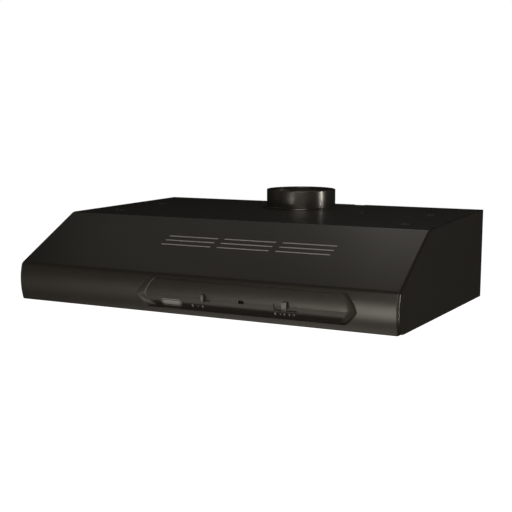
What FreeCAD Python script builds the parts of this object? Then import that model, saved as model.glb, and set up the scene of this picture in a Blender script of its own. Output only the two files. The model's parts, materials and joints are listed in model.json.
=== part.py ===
import FreeCAD, Part

import math
import os
import re

import Sketcher

# Under-cabinet range hood.  Millimetres.  X runs to the right, -Y is the front, +Z is up.
# The origin is the centre of the four cabinet screws, on the upper face of the top panel.

DIMENSIONS = {
    # outer shell
    "width": 760,
    "depth": 572,
    "top_depth": 408,
    "height_rear": 186,
    "height_front": 154,
    "fold_drop": 83,
    "bow": 6,
    "sheet": 1,
    "rear": 250,
    "lip": 16,
    "flange": 12,
    # fixing and wiring holes
    "screw_span_x": 624,
    "screw_span_y": 170,
    "screw_hole_radius": 3,
    "cable_x": 171,
    "cable_y": 76,
    "cable_hole_radius": 11,
    "wall_hole_x": 150,
    "wall_hole_radius": 3.5,
    "screw_head": 3.6,
    "screw_shank": 1.9,
    "screw_reach": 7,
    "box_drop": 46,
    # vent slots
    "slot_start": -110.4,
    "slot_length": 105.5,
    "slot_step": 118.1,
    "slot_width": 3.6,
    "slot_first": 64.6,
    "slot_pitch": 13.8,
    "slot_stagger": 1.7,
    # duct collar, damper and adapter
    "collar_radius": 75,
    "collar_wall": 1,
    "collar_height": 38.5,
    "collar_to_rear": 93,
    "collar_gap": 1.5,
    "collar_flange": 90,
    "damper_rod": 1.6,
    "damper_level": 8,
    # control fascia
    "fascia_x": 99.2,
    "fascia_half": 210.3,
    "fascia_flat": 190,
    "fascia_top": 89.5,
    "fascia_tip": 120.6,
    "fascia_bottom": 143.2,
    "ridge_level": 122,
    "ridge_depth": -0.5,
    "top_edge_depth": 6,
    "bottom_edge_depth": 9,
    "fascia_back": 12,
    "end_slope": 16,
    # sliders
    "fan_x": 179,
    "fan_pitch": 9,
    "fan_window_half": 21.4,
    "fan_mark_pitch": 8.7,
    "fan_mark_middle": 175.5,
    "light_x": 22,
    "light_travel": 9,
    "light_mark_pitch": 10.3,
    "light_mark_last": 17.4,
    "lamp_lens_x": 95.5,
    # underside
    "pan_level": 18,
    "filter_inner": 9,
    "filter_width": 320,
    "filter_front": 150,
    "filter_depth": 280,
    "filter_low": 8,
    "filter_high": 17,
    "peg_radius": 1.8,
    "peg_level": 12.5,
    "latch_travel": 5,
    "lamp_x": 245,
    "lamp_front": 48,
    "lamp_depth": 64,
    "lamp_width": 104,
    "lamp_peg": 1.2,
    "bulb_level": 40,
    "bulb_radius": 17,
    # blower
    "wheel_y": 97,
    "wheel_z": -70,
    "wheel_radius": 48,
    "scroll_half": 50,
    "blades": 30,
    "shaft_radius": 4,
    "motor_radius": 38,
    # running clearance of a pin in its bore
    "running": 0.05,
}

doc = FreeCAD.newDocument("range_hood")
sheet = doc.addObject("Spreadsheet::Sheet", "dims")
for row, (alias, size) in enumerate(DIMENSIONS.items(), start=1):
    sheet.set(f"A{row}", alias)
    sheet.set(f"B{row}", str(size))
    sheet.setAlias(f"B{row}", alias)
doc.recompute()

ALIAS = re.compile(r"\b(" + "|".join(sorted(DIMENSIONS, key=len, reverse=True)) + r")\b")

# Places that several pieces share, as expressions of the sheet's cells.
FRONT = "(rear - depth)"
TOP_FRONT = "(rear - top_depth)"
SLOPE = "atan(fold_drop / (depth - top_depth))"
TILT = "atan((height_rear - height_front) / depth)"
COLLAR_Y = "(rear - collar_to_rear)"
INSIDE = "(width / 2 - sheet)"
LOWER_FACET = "atan((bottom_edge_depth - ridge_depth) / (fascia_bottom - ridge_level))"
FILTER_REAR = "(filter_front + filter_depth)"
LAMP_REAR = "(lamp_front + lamp_depth)"
X_AXIS = FreeCAD.Vector(1, 0, 0)

parts = []


def bound(expression):
    """Point each dimension's name at its cell in the sheet."""
    return ALIAS.sub(r"dims.\1", str(expression))


def number(expression):
    """The present value of an expression."""
    result = sheet.evalExpression(bound(expression))
    return float(getattr(result, "Value", result))


def keep(piece, label):
    """Name a finished sub-part; its label names its file."""
    piece.Label = label
    parts.append(piece)
    return piece


def box(name, x, y, z):
    """A block between two planes along each axis."""
    piece = doc.addObject("Part::Box", name)
    for side, axis, (low, high) in zip(("Length", "Width", "Height"), "xyz", (x, y, z)):
        piece.setExpression(side, bound(f"({high}) - ({low})"))
        piece.setExpression(f"Placement.Base.{axis}", bound(low))
    return piece


def cylinder(name, axis, radius, span, centre):
    """A round bar along one axis, with its centre given on the other two in X, Y, Z order."""
    turns = {
        "x": FreeCAD.Rotation(FreeCAD.Vector(0, 1, 0), 90),
        "y": FreeCAD.Rotation(X_AXIS, -90),
        "z": FreeCAD.Rotation(),
    }
    piece = doc.addObject("Part::Cylinder", name)
    piece.Placement = FreeCAD.Placement(FreeCAD.Vector(), turns[axis])
    low, high = span
    piece.setExpression("Radius", bound(radius))
    piece.setExpression("Height", bound(f"({high}) - ({low})"))
    places = dict(zip([letter for letter in "xyz" if letter != axis], centre))
    places[axis] = low
    for letter, place in places.items():
        piece.setExpression(f"Placement.Base.{letter}", bound(place))
    return piece


def countersink(name, large_end, small_end, place):
    """The cone of a countersunk head along Z, between its large end and its small end."""
    low, high = sorted((large_end, small_end), key=number)
    radii = ("screw_shank", "screw_head") if low == small_end else ("screw_head", "screw_shank")
    piece = doc.addObject("Part::Cone", name)
    for side, radius in zip(("Radius1", "Radius2"), radii):
        piece.setExpression(side, bound(radius))
    piece.setExpression("Height", bound(f"({high}) - ({low})"))
    for letter, position in zip("xyz", (*place, low)):
        piece.setExpression(f"Placement.Base.{letter}", bound(position))
    return piece


def fuse(name, *pieces):
    """Several solids joined."""
    joined = doc.addObject("Part::MultiFuse", name)
    joined.Shapes = list(pieces)
    joined.Refine = True
    return joined


def cut(name, base, *tools):
    """A solid with others taken away."""
    result = doc.addObject("Part::Cut", name)
    result.Base = base
    result.Tool = tools[0] if len(tools) == 1 else fuse(name + "_tools", *tools)
    return result


def common(name, first, second):
    """What two solids share."""
    result = doc.addObject("Part::Common", name)
    result.Base = first
    result.Tool = second
    return result


def arc_edge(start, end, rise):
    """An arc from start to end that stands out by rise on the right of the way from one to the other."""
    chord = end - start
    right = FreeCAD.Vector(chord.y, -chord.x, 0).normalize()
    radius = (chord.Length ** 2 / 4 + rise ** 2) / (2 * abs(rise))
    centre = (start + end) / 2 - right * math.copysign(radius - abs(rise), rise)
    first, last = (start, end) if rise > 0 else (end, start)
    low = math.atan2(first.y - centre.y, first.x - centre.x)
    high = math.atan2(last.y - centre.y, last.x - centre.x)
    if high < low:
        high += 2 * math.pi
    return Part.ArcOfCircle(Part.Circle(centre, FreeCAD.Vector(0, 0, 1), radius), low, high)


def place_end(sketch, edge, end, point):
    """Hold one end of a sketch edge at a point given by two expressions."""
    for kind, place in zip(("DistanceX", "DistanceY"), point):
        value = number(place)
        index = sketch.addConstraint(Sketcher.Constraint(kind, -1, 1, edge, end, value))
        sketch.setExpression(f"Constraints[{index}]", bound(place))


def prism(name, plane, outline, span):
    """A pad of a closed outline between two planes.

    Each corner is (across, up) or (across, up, rise); with a rise, the edge that starts there is an arc.
    The plane is XY, XZ or YZ, and the span runs along the plane's normal: +Z, -Y or +X.
    """
    body = doc.addObject("PartDesign::Body", name)
    origin_plane = next(item for item in body.Origin.OriginFeatures if item.Role == f"{plane}_Plane")
    sketch = body.newObject("Sketcher::SketchObject", name + "_sketch")
    sketch.AttachmentSupport = (origin_plane, "")
    sketch.MapMode = "FlatFace"
    corners = [FreeCAD.Vector(number(corner[0]), number(corner[1]), 0) for corner in outline]
    for index, corner in enumerate(outline):
        start, end = corners[index], corners[(index + 1) % len(corners)]
        rise = number(corner[2]) if len(corner) > 2 else 0
        if rise:
            edge = sketch.addGeometry(arc_edge(start, end, rise))
        else:
            edge = sketch.addGeometry(Part.LineSegment(start, end))
        first, last = (2, 1) if rise < 0 else (1, 2)
        place_end(sketch, edge, first, corner[:2])
        place_end(sketch, edge, last, outline[(index + 1) % len(outline)][:2])
        if rise:
            following = outline[(index + 1) % len(outline)]
            across = f"(({following[0]}) - ({corner[0]}))"
            upward = f"(({following[1]}) - ({corner[1]}))"
            radius = f"(({across} ^ 2 + {upward} ^ 2) / 4 + ({corner[2]}) ^ 2) / (2 * abs({corner[2]}))"
            held = sketch.addConstraint(Sketcher.Constraint("Radius", edge, number(radius)))
            sketch.setExpression(f"Constraints[{held}]", bound(radius))
    low, high = span
    sketch.setExpression("AttachmentOffset.Base.z", bound(low))
    pad = body.newObject("PartDesign::Pad", name + "_pad")
    pad.Profile = sketch
    pad.setExpression("Length", bound(f"({high}) - ({low})"))
    sketch.Visibility = False
    return body


def tilted(piece, axis, angle, y, z):
    """A piece drawn in a frame of its own, turned about X and moved to where that frame starts."""
    piece.Label = piece.Name + "_flat"
    group = doc.addObject("Part::Compound", piece.Name + "_placed")
    group.Links = [piece]
    group.Placement = FreeCAD.Placement(FreeCAD.Vector(), FreeCAD.Rotation(axis, 1))
    group.setExpression("Placement.Rotation.Angle", bound(angle))
    group.setExpression("Placement.Base.y", bound(y))
    group.setExpression("Placement.Base.z", bound(z))
    return group


def tilt_under(piece):
    """Underside frame: it starts at the lower front edge, and Y runs back along the sloped lower edge."""
    return tilted(piece, -X_AXIS, TILT, FRONT, "-height_front")


def tilt_slope(piece):
    """Slope frame: it starts at the slope's top edge, with Z outwards and -Y down the slope."""
    return tilted(piece, X_AXIS, SLOPE, TOP_FRONT, 0)


def tilt_facet(piece):
    """Lower facet frame: it starts at the fascia's ridge, with -Y outwards and -Z down the facet."""
    return tilted(piece, X_AXIS, LOWER_FACET, f"{FRONT} + ridge_depth", "-ridge_level")


def mirrored(low, high, side):
    """A span along X, on the right for side 1 and on the left for side -1."""
    return (low, high) if side > 0 else (f"-({high})", f"-({low})")


SIDES = (("right", 1), ("left", -1))
SCREW_ROWS = [f"{TOP_FRONT} + {distance}" for distance in (40, 150, 260, 385)]
ADAPTER_SCREWS = [(f"{x} * 62", f"{COLLAR_Y} + {y} * 58") for x in (1, -1) for y in (1, -1)]
FASCIA_SCREWS = [(x, z) for x in (-112, 310) for z in (-146, -90)]
COVER_SCREW = ("cable_x - 22", "cable_y")
LENS_SPAN = ("lamp_lens_x - 5.5", "lamp_lens_x + 5.5")


# ---------------------------------------------------------------- shell

def shell_screw_places():
    """The screws that hold the top panel to the side panels' flanges."""
    return [(f"{side} * ({INSIDE} - flange / 2)", row) for _, side in SIDES for row in SCREW_ROWS]


def make_top_panel():
    panel = box("top_sheet", ("-width / 2", "width / 2"), (TOP_FRONT, "rear"), ("-sheet", 0))
    through = ("-2 * sheet", "sheet")
    tools = [
        cylinder("duct_hole", "z", "collar_radius + collar_gap", through, (0, COLLAR_Y)),
        cylinder("cable_hole", "z", "cable_hole_radius", through, ("cable_x", "cable_y")),
        box("rear_notch", (92, 116), ("rear - 8", "rear + 1"), through),
    ]
    for side in (1, -1):
        for end in (1, -1):
            place = (f"{side} * screw_span_x / 2", f"{end} * screw_span_y / 2")
            tools.append(cylinder("cabinet_hole", "z", "screw_hole_radius", through, place))
    for place in shell_screw_places() + ADAPTER_SCREWS:
        tools.append(countersink("panel_sink", 0, "-sheet", place))
    keep(cut("top_panel", panel, *tools), "top_panel")


# The inner face of the slope, where it meets the top flange and the bow.
INNER_TOP = (f"{TOP_FRONT} + sheet * (1 / cos({SLOPE}) - 2) / tan({SLOPE})", "-2 * sheet")
INNER_FOLD_Z = f"-fold_drop + sheet * (tan({SLOPE}) - 1 / cos({SLOPE}))"


def fascia_outline(grow=0):
    """The lens shape of the control opening, across X and Z, drawn counter-clockwise."""
    half, flat = f"(fascia_half + {grow})", f"(fascia_flat + {grow})"
    top, bottom = f"-(fascia_top - {grow})", f"-(fascia_bottom + {grow})"
    return [
        (f"fascia_x + {flat}", top),
        (f"fascia_x - {flat}", top, 3),
        (f"fascia_x - {half}", "-fascia_tip", 1.5),
        (f"fascia_x - {flat}", bottom),
        (f"fascia_x + {flat}", bottom, 1.5),
        (f"fascia_x + {half}", "-fascia_tip", 3),
    ]


def make_front_skin():
    outline = [
        (f"{TOP_FRONT} - sheet / tan({SLOPE})", "-sheet"),
        (FRONT, "-fold_drop", "bow"),
        (FRONT, "-height_front"),
        (f"{FRONT} + lip", f"-height_front - lip * tan({TILT})"),
        (f"{FRONT} + lip", f"-height_front - lip * tan({TILT}) + sheet"),
        (f"{FRONT} + sheet", "-height_front + sheet", "-bow"),
        (f"{FRONT} + sheet", INNER_FOLD_Z),
        INNER_TOP,
        (f"{TOP_FRONT} + 14", "-2 * sheet"),
        (f"{TOP_FRONT} + 14", "-sheet"),
    ]
    skin = prism("skin_sheet", "YZ", outline, ("-width / 2", "width / 2"))
    slots = []
    for group in range(3):
        for line in range(3):
            start = f"slot_start + {group} * slot_step - {line} * slot_stagger"
            along = f"-(slot_first + {line} * slot_pitch)"
            across = (f"{along} - slot_width / 2", f"{along} + slot_width / 2")
            slots.append(box("vent_slot", (start, f"{start} + slot_length"), across, (-4, 2)))
    vents = tilt_slope(fuse("vent_slots", *slots))
    opening = prism("control_opening", "XZ", fascia_outline(), (f"-({FRONT}) - 3", f"-({FRONT}) + 12"))
    keep(cut("front_skin", skin, vents, opening), "front_skin")
    plate = box("vent_plate", (-125, 246), (-106, -52), (-2.4, -1.4))
    keep(tilt_slope(plate), "vent_blanking_plate")


def make_side_panel(name, side):
    rear_foot = ("rear", "-height_rear")
    outline = [
        (f"{FRONT} + sheet", INNER_FOLD_Z, "bow"),
        (f"{FRONT} + sheet", "-height_front + sheet"),
        (f"{FRONT} + lip", f"-height_front - lip * tan({TILT}) + sheet"),
        (f"{FRONT} + lip", f"-height_front - lip * tan({TILT})"),
        rear_foot,
        ("rear", "-sheet"),
        (f"{TOP_FRONT} + 14", "-sheet"),
        (f"{TOP_FRONT} + 14", "-2 * sheet"),
        INNER_TOP,
    ]
    plate = prism(f"{name}_plate", "YZ", outline, mirrored(INSIDE, "width / 2", side))
    strip = [
        (f"{FRONT} + lip", f"-height_front - lip * tan({TILT})"),
        ("rear - sheet", f"-height_rear + sheet * tan({TILT})"),
        ("rear - sheet", f"-height_rear + sheet * tan({TILT}) + sheet"),
        (f"{FRONT} + lip", f"-height_front - lip * tan({TILT}) + sheet"),
    ]
    flange_span = mirrored(f"{INSIDE} - flange", INSIDE, side)
    lower = prism(f"{name}_lower_flange", "YZ", strip, flange_span)
    upper_y = (f"{TOP_FRONT} + 14", "rear - sheet")
    upper = box(f"{name}_upper_flange", flange_span, upper_y, ("-2 * sheet", "-sheet"))
    holes = []
    for x, y in shell_screw_places():
        if number(x) * side > 0:
            holes.append(cylinder("flange_hole", "z", "screw_shank", ("-3 * sheet", 0), (x, y)))
    keep(cut(name, fuse(f"{name}_body", plate, lower, upper), *holes), name)


def make_rear_panel():
    wall_span = (f"-{INSIDE}", INSIDE)
    wall = box("rear_wall", wall_span, ("rear - sheet", "rear"), ("-height_rear", "-sheet"))
    foot_span = (f"-({INSIDE} - flange)", f"{INSIDE} - flange")
    foot_z = ("-height_rear + sheet", "-height_rear + 2 * sheet")
    foot = box("rear_foot", foot_span, ("rear - flange", "rear - sheet"), foot_z)
    tools = [box("rear_edge_notch", (92, 116), ("rear - 3", "rear + 1"), (-4, 0))]
    for side in (1, -1):
        place = (f"{side} * wall_hole_x", "-height_rear / 2")
        tools.append(cylinder("wall_hole", "y", "wall_hole_radius", ("rear - 3", "rear + 1"), place))
    keep(cut("rear_panel", fuse("rear_body", wall, foot), *tools), "rear_panel")


def make_panel_screws():
    """The identical countersunk screws in the top panel, and the one in the terminal cover."""
    screws = []
    for place in shell_screw_places() + ADAPTER_SCREWS:
        head = countersink("panel_head", 0, "-sheet", place)
        shank = cylinder("panel_shank", "z", "screw_shank", ("-screw_reach", "-sheet"), place)
        screws.append(fuse("panel_screw", head, shank))
    head = countersink("cover_head", "-box_drop - sheet", "-box_drop", COVER_SCREW)
    shank_span = ("-box_drop", "-box_drop + screw_reach - sheet")
    shank = cylinder("cover_shank", "z", "screw_shank", shank_span, COVER_SCREW)
    screws.append(fuse("cover_screw", head, shank))
    keep(fuse("panel_screw_group", *screws), "panel_screws")


# ---------------------------------------------------------------- underside

def filter_centre(side):
    return f"{side} * (filter_inner + filter_width / 2)"


def filter_span(side, inset=0):
    return mirrored(f"filter_inner + {inset}", f"filter_inner + filter_width - {inset}", side)


def lamp_span(side, inset=0):
    return mirrored(f"lamp_x - lamp_width / 2 + {inset}", f"lamp_x + lamp_width / 2 - {inset}", side)


def make_underside_pan():
    pan_top = "pan_level + sheet"
    wide = (f"-{INSIDE}", INSIDE)
    length = "sqrt(depth ^ 2 + (height_rear - height_front) ^ 2)"
    deck = box("pan_deck", wide, (18, f"{length} - 4"), ("pan_level", pan_top))
    riser_span = (f"-({INSIDE} - flange - 0.5)", f"{INSIDE} - flange - 0.5")
    riser = box("pan_riser", riser_span, (18, 19), (1.4, "pan_level"))
    through = ("pan_level - 1", "pan_level + 3")
    tools = []
    for _, side in SIDES:
        window_y = ("filter_front + 12", f"{FILTER_REAR} - 12")
        tools.append(box("filter_window", filter_span(side, 14), window_y, through))
        lamp_y = ("lamp_front + 6", f"{LAMP_REAR} - 6")
        tools.append(box("lamp_window", lamp_span(side, 6), lamp_y, through))
    keep(tilt_under(cut("underside_pan", fuse("pan_body", deck, riser), *tools)), "underside_pan")


def make_hinge_blocks():
    """Blocks under the pan that carry the filters' and lamp covers' rear pegs."""
    filter_axis = (f"{FILTER_REAR} - 2.5", "peg_level")
    spans = [("-(filter_inner - 1)", "filter_inner - 1")]
    outer = "filter_inner + filter_width"
    spans += [mirrored(f"{outer} + 1", f"{outer} + 8", side) for _, side in SIDES]
    blocks = []
    for span in spans:
        block_y = (f"{FILTER_REAR} - 8", f"{FILTER_REAR} + 3")
        block = box("filter_block", span, block_y, ("filter_low", "pan_level"))
        bore_span = (f"{span[0]} - 1", f"{span[1]} + 1")
        bore = cylinder("filter_bore", "x", "peg_radius + running", bore_span, filter_axis)
        blocks.append(cut("filter_hinge", block, bore))
    keep(tilt_under(fuse("filter_hinges", *blocks)), "filter_hinge_blocks")

    lamp_axis = (f"{LAMP_REAR} - 2", "pan_level - 3.6")
    blocks = []
    for _, side in SIDES:
        edges = ("lamp_x - lamp_width / 2 - 7", "lamp_x + lamp_width / 2 + 1")
        for edge in edges:
            span = mirrored(edge, f"{edge} + 6", side)
            block_y = (f"{LAMP_REAR} - 6", f"{LAMP_REAR} + 2")
            block = box("lamp_block", span, block_y, ("pan_level - 7", "pan_level"))
            bore_span = (f"{span[0]} - 1", f"{span[1]} + 1")
            bore = cylinder("lamp_bore", "x", "lamp_peg + running", bore_span, lamp_axis)
            blocks.append(cut("lamp_hinge", block, bore))
    keep(tilt_under(fuse("lamp_hinges", *blocks)), "lamp_hinge_blocks")

    catches = []
    for _, side in SIDES:
        middle = filter_centre(side)
        catch_span = (f"{middle} - 14", f"{middle} + 14")
        catch_y = ("filter_front - 7", "filter_front - 1")
        catches.append(box("catch", catch_span, catch_y, ("filter_low", "pan_level")))
    keep(tilt_under(fuse("catches", *catches)), "filter_catches")


def make_filter(name, side):
    """A grease filter: channel frame, mesh pack, sprung latch."""
    outer_y = ("filter_front", FILTER_REAR)
    frame = box(f"{name}_rim", filter_span(side), outer_y, ("filter_low", "filter_high"))
    mesh_y = ("filter_front + 26", f"{FILTER_REAR} - 18")
    opening = box(f"{name}_opening", filter_span(side, 18), mesh_y, ("filter_low - 1", "filter_high + 1"))
    middle = filter_centre(side)

    def across(half):
        return (f"{middle} - {half}", f"{middle} + {half}")

    pocket = box(f"{name}_pocket", across(21), ("filter_front + 2", "filter_front + 22"), (10, 14.6))
    slot_y = ("filter_front + 5", "filter_front + 17.5")
    finger_slot = box(f"{name}_finger_slot", across(15), slot_y, (7, 10))
    nose_y = ("filter_front - 1", "filter_front + 2")
    nose_slot = box(f"{name}_nose_slot", across(9.5), nose_y, (10.2, 14.2))
    pegs = []
    for edge, reach in (("filter_inner", -6.5), ("filter_inner + filter_width", 6.5)):
        low, high = sorted((0, reach))
        span = mirrored(f"{edge} + {low}", f"{edge} + {high}", side)
        pegs.append(cylinder(f"{name}_peg", "x", "peg_radius", span, (f"{FILTER_REAR} - 2.5", "peg_level")))
    body = cut(f"{name}_frame_body", frame, opening, pocket, finger_slot, nose_slot)
    keep(tilt_under(fuse(f"{name}_frame", body, *pegs)), f"{name}_frame")

    keep(tilt_under(box(f"{name}_mesh", filter_span(side, 18), mesh_y, (9.5, 15.5))), f"{name}_mesh")

    slide = box(f"{name}_slide", across(20), ("filter_front + 3", "filter_front + 14"), (10.3, 14.3))
    nose = box(f"{name}_nose", across(9), ("filter_front - 0.7", "filter_front + 3"), (10.6, 13.8))
    finger = box(f"{name}_finger", across(14), ("filter_front + 6", "filter_front + 9"), (3.5, 10.3))
    keep(tilt_under(fuse(f"{name}_latch", slide, nose, finger)), f"{name}_latch")

    coil_y = ("filter_front + 14", "filter_front + 22")
    coil = cylinder(f"{name}_spring", "y", 1.8, coil_y, (middle, 12.3))
    keep(tilt_under(coil), f"{name}_latch_spring")


def make_lamp(name, side):
    """A lamp above the pan: reflector box, holder, bulb, and a hinged cover with its glass."""
    inner_y = ("lamp_front + 6", f"{LAMP_REAR} - 6")
    shell_y = ("lamp_front + 5", f"{LAMP_REAR} - 5")
    shell = box(f"{name}_can", lamp_span(side, 5), shell_y, ("pan_level + sheet", 62))
    room = box(f"{name}_room", lamp_span(side, 6), inner_y, ("pan_level", 61))
    keep(tilt_under(cut(f"{name}_reflector", shell, room)), f"{name}_reflector")

    middle_y = "lamp_front + lamp_depth / 2"
    inner = "lamp_x - lamp_width / 2 + 6"
    holder_span = mirrored(inner, f"{inner} + 26", side)
    holder = cylinder(f"{name}_holder", "x", 16, holder_span, (middle_y, "bulb_level"))
    keep(tilt_under(holder), f"{name}_holder")
    neck_span = mirrored(f"{inner} + 26", f"{inner} + 34", side)
    neck = cylinder(f"{name}_neck", "x", 9, neck_span, (middle_y, "bulb_level"))
    globe = doc.addObject("Part::Sphere", f"{name}_globe")
    globe.setExpression("Radius", bound("bulb_radius"))
    globe.Placement = FreeCAD.Placement(FreeCAD.Vector(), FreeCAD.Rotation(FreeCAD.Vector(0, 1, 0), 90))
    globe.setExpression("Placement.Base.x", bound(f"{side} * ({inner} + 46)"))
    globe.setExpression("Placement.Base.y", bound(middle_y))
    globe.setExpression("Placement.Base.z", bound("bulb_level"))
    keep(tilt_under(fuse(f"{name}_bulb", neck, globe)), f"{name}_bulb")

    low, high = "pan_level - 5.5", "pan_level - 1"
    outer_y = ("lamp_front", LAMP_REAR)
    bezel = box(f"{name}_bezel", lamp_span(side), outer_y, (low, high))
    pane_y = ("lamp_front + 8", f"{LAMP_REAR} - 8")
    window = box(f"{name}_window", lamp_span(side, 8), pane_y, ("pan_level - 9", "pan_level + sheet"))
    axis = (f"{LAMP_REAR} - 2", "pan_level - 3.6")
    pegs = []
    for edge, reach in (("lamp_x - lamp_width / 2", -6.5), ("lamp_x + lamp_width / 2", 6.5)):
        near, far = sorted((0, reach))
        span = mirrored(f"{edge} + {near}", f"{edge} + {far}", side)
        pegs.append(cylinder(f"{name}_peg", "x", "lamp_peg", span, axis))
    cover = fuse(f"{name}_cover", cut(f"{name}_cover_plate", bezel, window), *pegs)
    keep(tilt_under(cover), f"{name}_cover")
    pane = box(f"{name}_pane", lamp_span(side, 8), pane_y, ("pan_level - 4.8", "pan_level - 1.8"))
    keep(tilt_under(pane), f"{name}_glass")


# ---------------------------------------------------------------- controls

def facet_line(offset, back):
    """The fascia's two facets from top to bottom, moved back by offset, closed on a plane at back."""
    return [
        (f"{FRONT} + {back}", "-fascia_top + 8"),
        (f"{FRONT} + top_edge_depth + {offset}", "-fascia_top + 8"),
        (f"{FRONT} + top_edge_depth + {offset}", "-fascia_top"),
        (f"{FRONT} + ridge_depth + {offset}", "-ridge_level"),
        (f"{FRONT} + bottom_edge_depth + {offset}", "-fascia_bottom"),
        (f"{FRONT} + bottom_edge_depth + {offset}", "-fascia_bottom - 4"),
        (f"{FRONT} + {back}", "-fascia_bottom - 4"),
    ]


def make_control_fascia():
    """A moulding that fills the opening, with a dished face of two facets and sloped ends."""
    block = prism("fascia_block", "XZ", fascia_outline(), (f"-({FRONT}) - fascia_back", f"-({FRONT}) + 8"))
    bow_body = [
        (f"{FRONT} + 0.2", "-fold_drop", "bow"),
        (f"{FRONT} + 0.2", "-height_front"),
        (f"{FRONT} + 20", "-height_front"),
        (f"{FRONT} + 20", "-fold_drop"),
    ]
    ends = ("fascia_x - fascia_half", "fascia_x + fascia_half")
    filled = common("fascia_filled", block, prism("bow_body", "YZ", bow_body, ends))
    dish_profile = prism("dish_profile", "YZ", facet_line(0, -20), ends)
    dish_plan = [
        ("fascia_x - fascia_half + 1", f"{FRONT} - bow"),
        ("fascia_x - fascia_half + end_slope", f"{FRONT} + 2"),
        ("fascia_x - fascia_half + end_slope + 4", f"{FRONT} + 14"),
        ("fascia_x + fascia_half - end_slope - 4", f"{FRONT} + 14"),
        ("fascia_x + fascia_half - end_slope", f"{FRONT} + 2"),
        ("fascia_x + fascia_half - 1", f"{FRONT} - bow"),
        ("fascia_x + fascia_half - 1", f"{FRONT} - 20"),
        ("fascia_x - fascia_half + 1", f"{FRONT} - 20"),
    ]
    dish = common("dish", dish_profile, prism("dish_plan", "XY", dish_plan, ("-height_rear", 0)))
    hollow = common(
        "hollow",
        prism("hollow_profile", "YZ", facet_line(2.5, 30), ("fascia_x - 182", "fascia_x + 182")),
        box("hollow_limit", ("fascia_x - 182", "fascia_x + 182"), (FRONT, "rear"), (-137, -95)),
    )
    flange_y = (f"{FRONT} + 1.2", f"{FRONT} + 3.2")
    flange = box("fascia_flange", (-119, 317), flange_y, (-150, -86))
    flange_window = prism("flange_window", "XZ", fascia_outline(), (f"-({FRONT}) - 20", f"-({FRONT}) + 8"))
    rim = cut("fascia_rim", flange, flange_window)
    through = (f"{FRONT} - 4", f"{FRONT} + 14")
    fan_span = ("fan_x - fan_window_half", "fan_x + fan_window_half")
    windows = [
        box("fan_window", fan_span, through, (-131, -118.5)),
        box("light_window", ("light_x - 4", "light_x + 13"), through, (-126, -117.5)),
        box("lens_window", LENS_SPAN, through, (-125, -118.5)),
    ]
    dished = cut("fascia_dished", filled, dish, hollow)
    hole_y = (f"{FRONT} - 2", f"{FRONT} + 5")
    holes = [cylinder("fascia_hole", "y", 1.5, hole_y, place) for place in FASCIA_SCREWS]
    keep(cut("control_fascia", fuse("fascia_body", dished, rim), *windows, *holes), "control_fascia")


def make_fascia_screws():
    screws = []
    for place in FASCIA_SCREWS:
        head = cylinder("fascia_head", "y", 2.8, (f"{FRONT} + 3.2", f"{FRONT} + 4.8"), place)
        shank = cylinder("fascia_shank", "y", 1.5, (f"{FRONT} + 1.2", f"{FRONT} + 3.2"), place)
        screws.append(fuse("fascia_screw", head, shank))
    keep(fuse("fascia_screw_group", *screws), "fascia_screws")


def make_badge_plate():
    """A blank pill-shaped plate on the lower facet."""
    centre_x, level, half_height, half_straight = -45.3, -12.4, 7.2, 13.6
    middle = box(
        "badge_middle",
        (centre_x - half_straight, centre_x + half_straight),
        (-1.2, -0.02),
        (level - half_height, level + half_height),
    )
    ends = []
    for side in (1, -1):
        place = (centre_x + side * half_straight, level)
        ends.append(cylinder("badge_end", "y", half_height, (-1.2, -0.02), place))
    keep(tilt_facet(fuse("badge", middle, *ends)), "badge_plate")


def make_scale_marks():
    """Raised ticks below the two sliders."""
    centres = [f"fan_mark_middle + {place} * fan_mark_pitch" for place in range(-2, 3)]
    centres += [f"light_mark_last - {place} * light_mark_pitch" for place in range(3)]
    marks = []
    for centre in centres:
        marks.append(box("mark", (f"{centre} - 0.6", f"{centre} + 0.6"), (-0.3, -0.02), (-18, -14.6)))
    keep(tilt_facet(fuse("marks", *marks)), "scale_marks")


def make_slider(name, centre, half_width, knob_z, stem_z, travel, body_half):
    """A knob on a stem that runs in a slide switch behind the fascia."""
    stem_half, play = 2, 0.3
    cap_span = (f"{centre} - {half_width}", f"{centre} + {half_width}")
    knob = box(f"{name}_cap", cap_span, (f"{FRONT} - 6.5", f"{FRONT} - 0.9"), knob_z)
    stem_span = (f"{centre} - {stem_half}", f"{centre} + {stem_half}")
    stem = box(f"{name}_stem", stem_span, (f"{FRONT} - 0.9", f"{FRONT} + 15"), stem_z)
    keep(fuse(f"{name}_knob", knob, stem), f"{name}_knob")
    low, high = travel
    middle = f"({centre} + ({low} + {high}) / 2)"
    case_span = (f"{middle} - {body_half}", f"{middle} + {body_half}")
    body = box(f"{name}_case", case_span, (f"{FRONT} + 12.5", f"{FRONT} + 26"), (-133, -111))
    track_span = (f"{centre} + {low} - {stem_half} - {play}", f"{centre} + {high} + {stem_half} + {play}")
    track_z = (f"{stem_z[0]} - {play}", f"{stem_z[1]} + {play}")
    track = box(f"{name}_track", track_span, (f"{FRONT} + 12", f"{FRONT} + 16"), track_z)
    keep(cut(f"{name}_switch", body, track), f"{name}_switch")


def make_controls():
    make_control_fascia()
    make_fascia_screws()
    make_badge_plate()
    make_scale_marks()
    fan_travel = ("-2 * fan_pitch", "2 * fan_pitch")
    make_slider("fan", "fan_x", 4.8, (-129, -113.6), (-127.5, -122.5), fan_travel, 30)
    make_slider("light", "light_x", 2.3, (-129, -113.8), (-124, -120), (0, "light_travel"), 17)
    lens = box("indicator", LENS_SPAN, (f"{FRONT} - 1.2", f"{FRONT} + 12"), (-125, -118.5))
    keep(lens, "indicator_lens")
    plate = box("switch_plate", (-2, 226), (f"{FRONT} + 26", f"{FRONT} + 27"), (-134, -104))
    keep(plate, "switch_bracket")


# ---------------------------------------------------------------- air path

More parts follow.
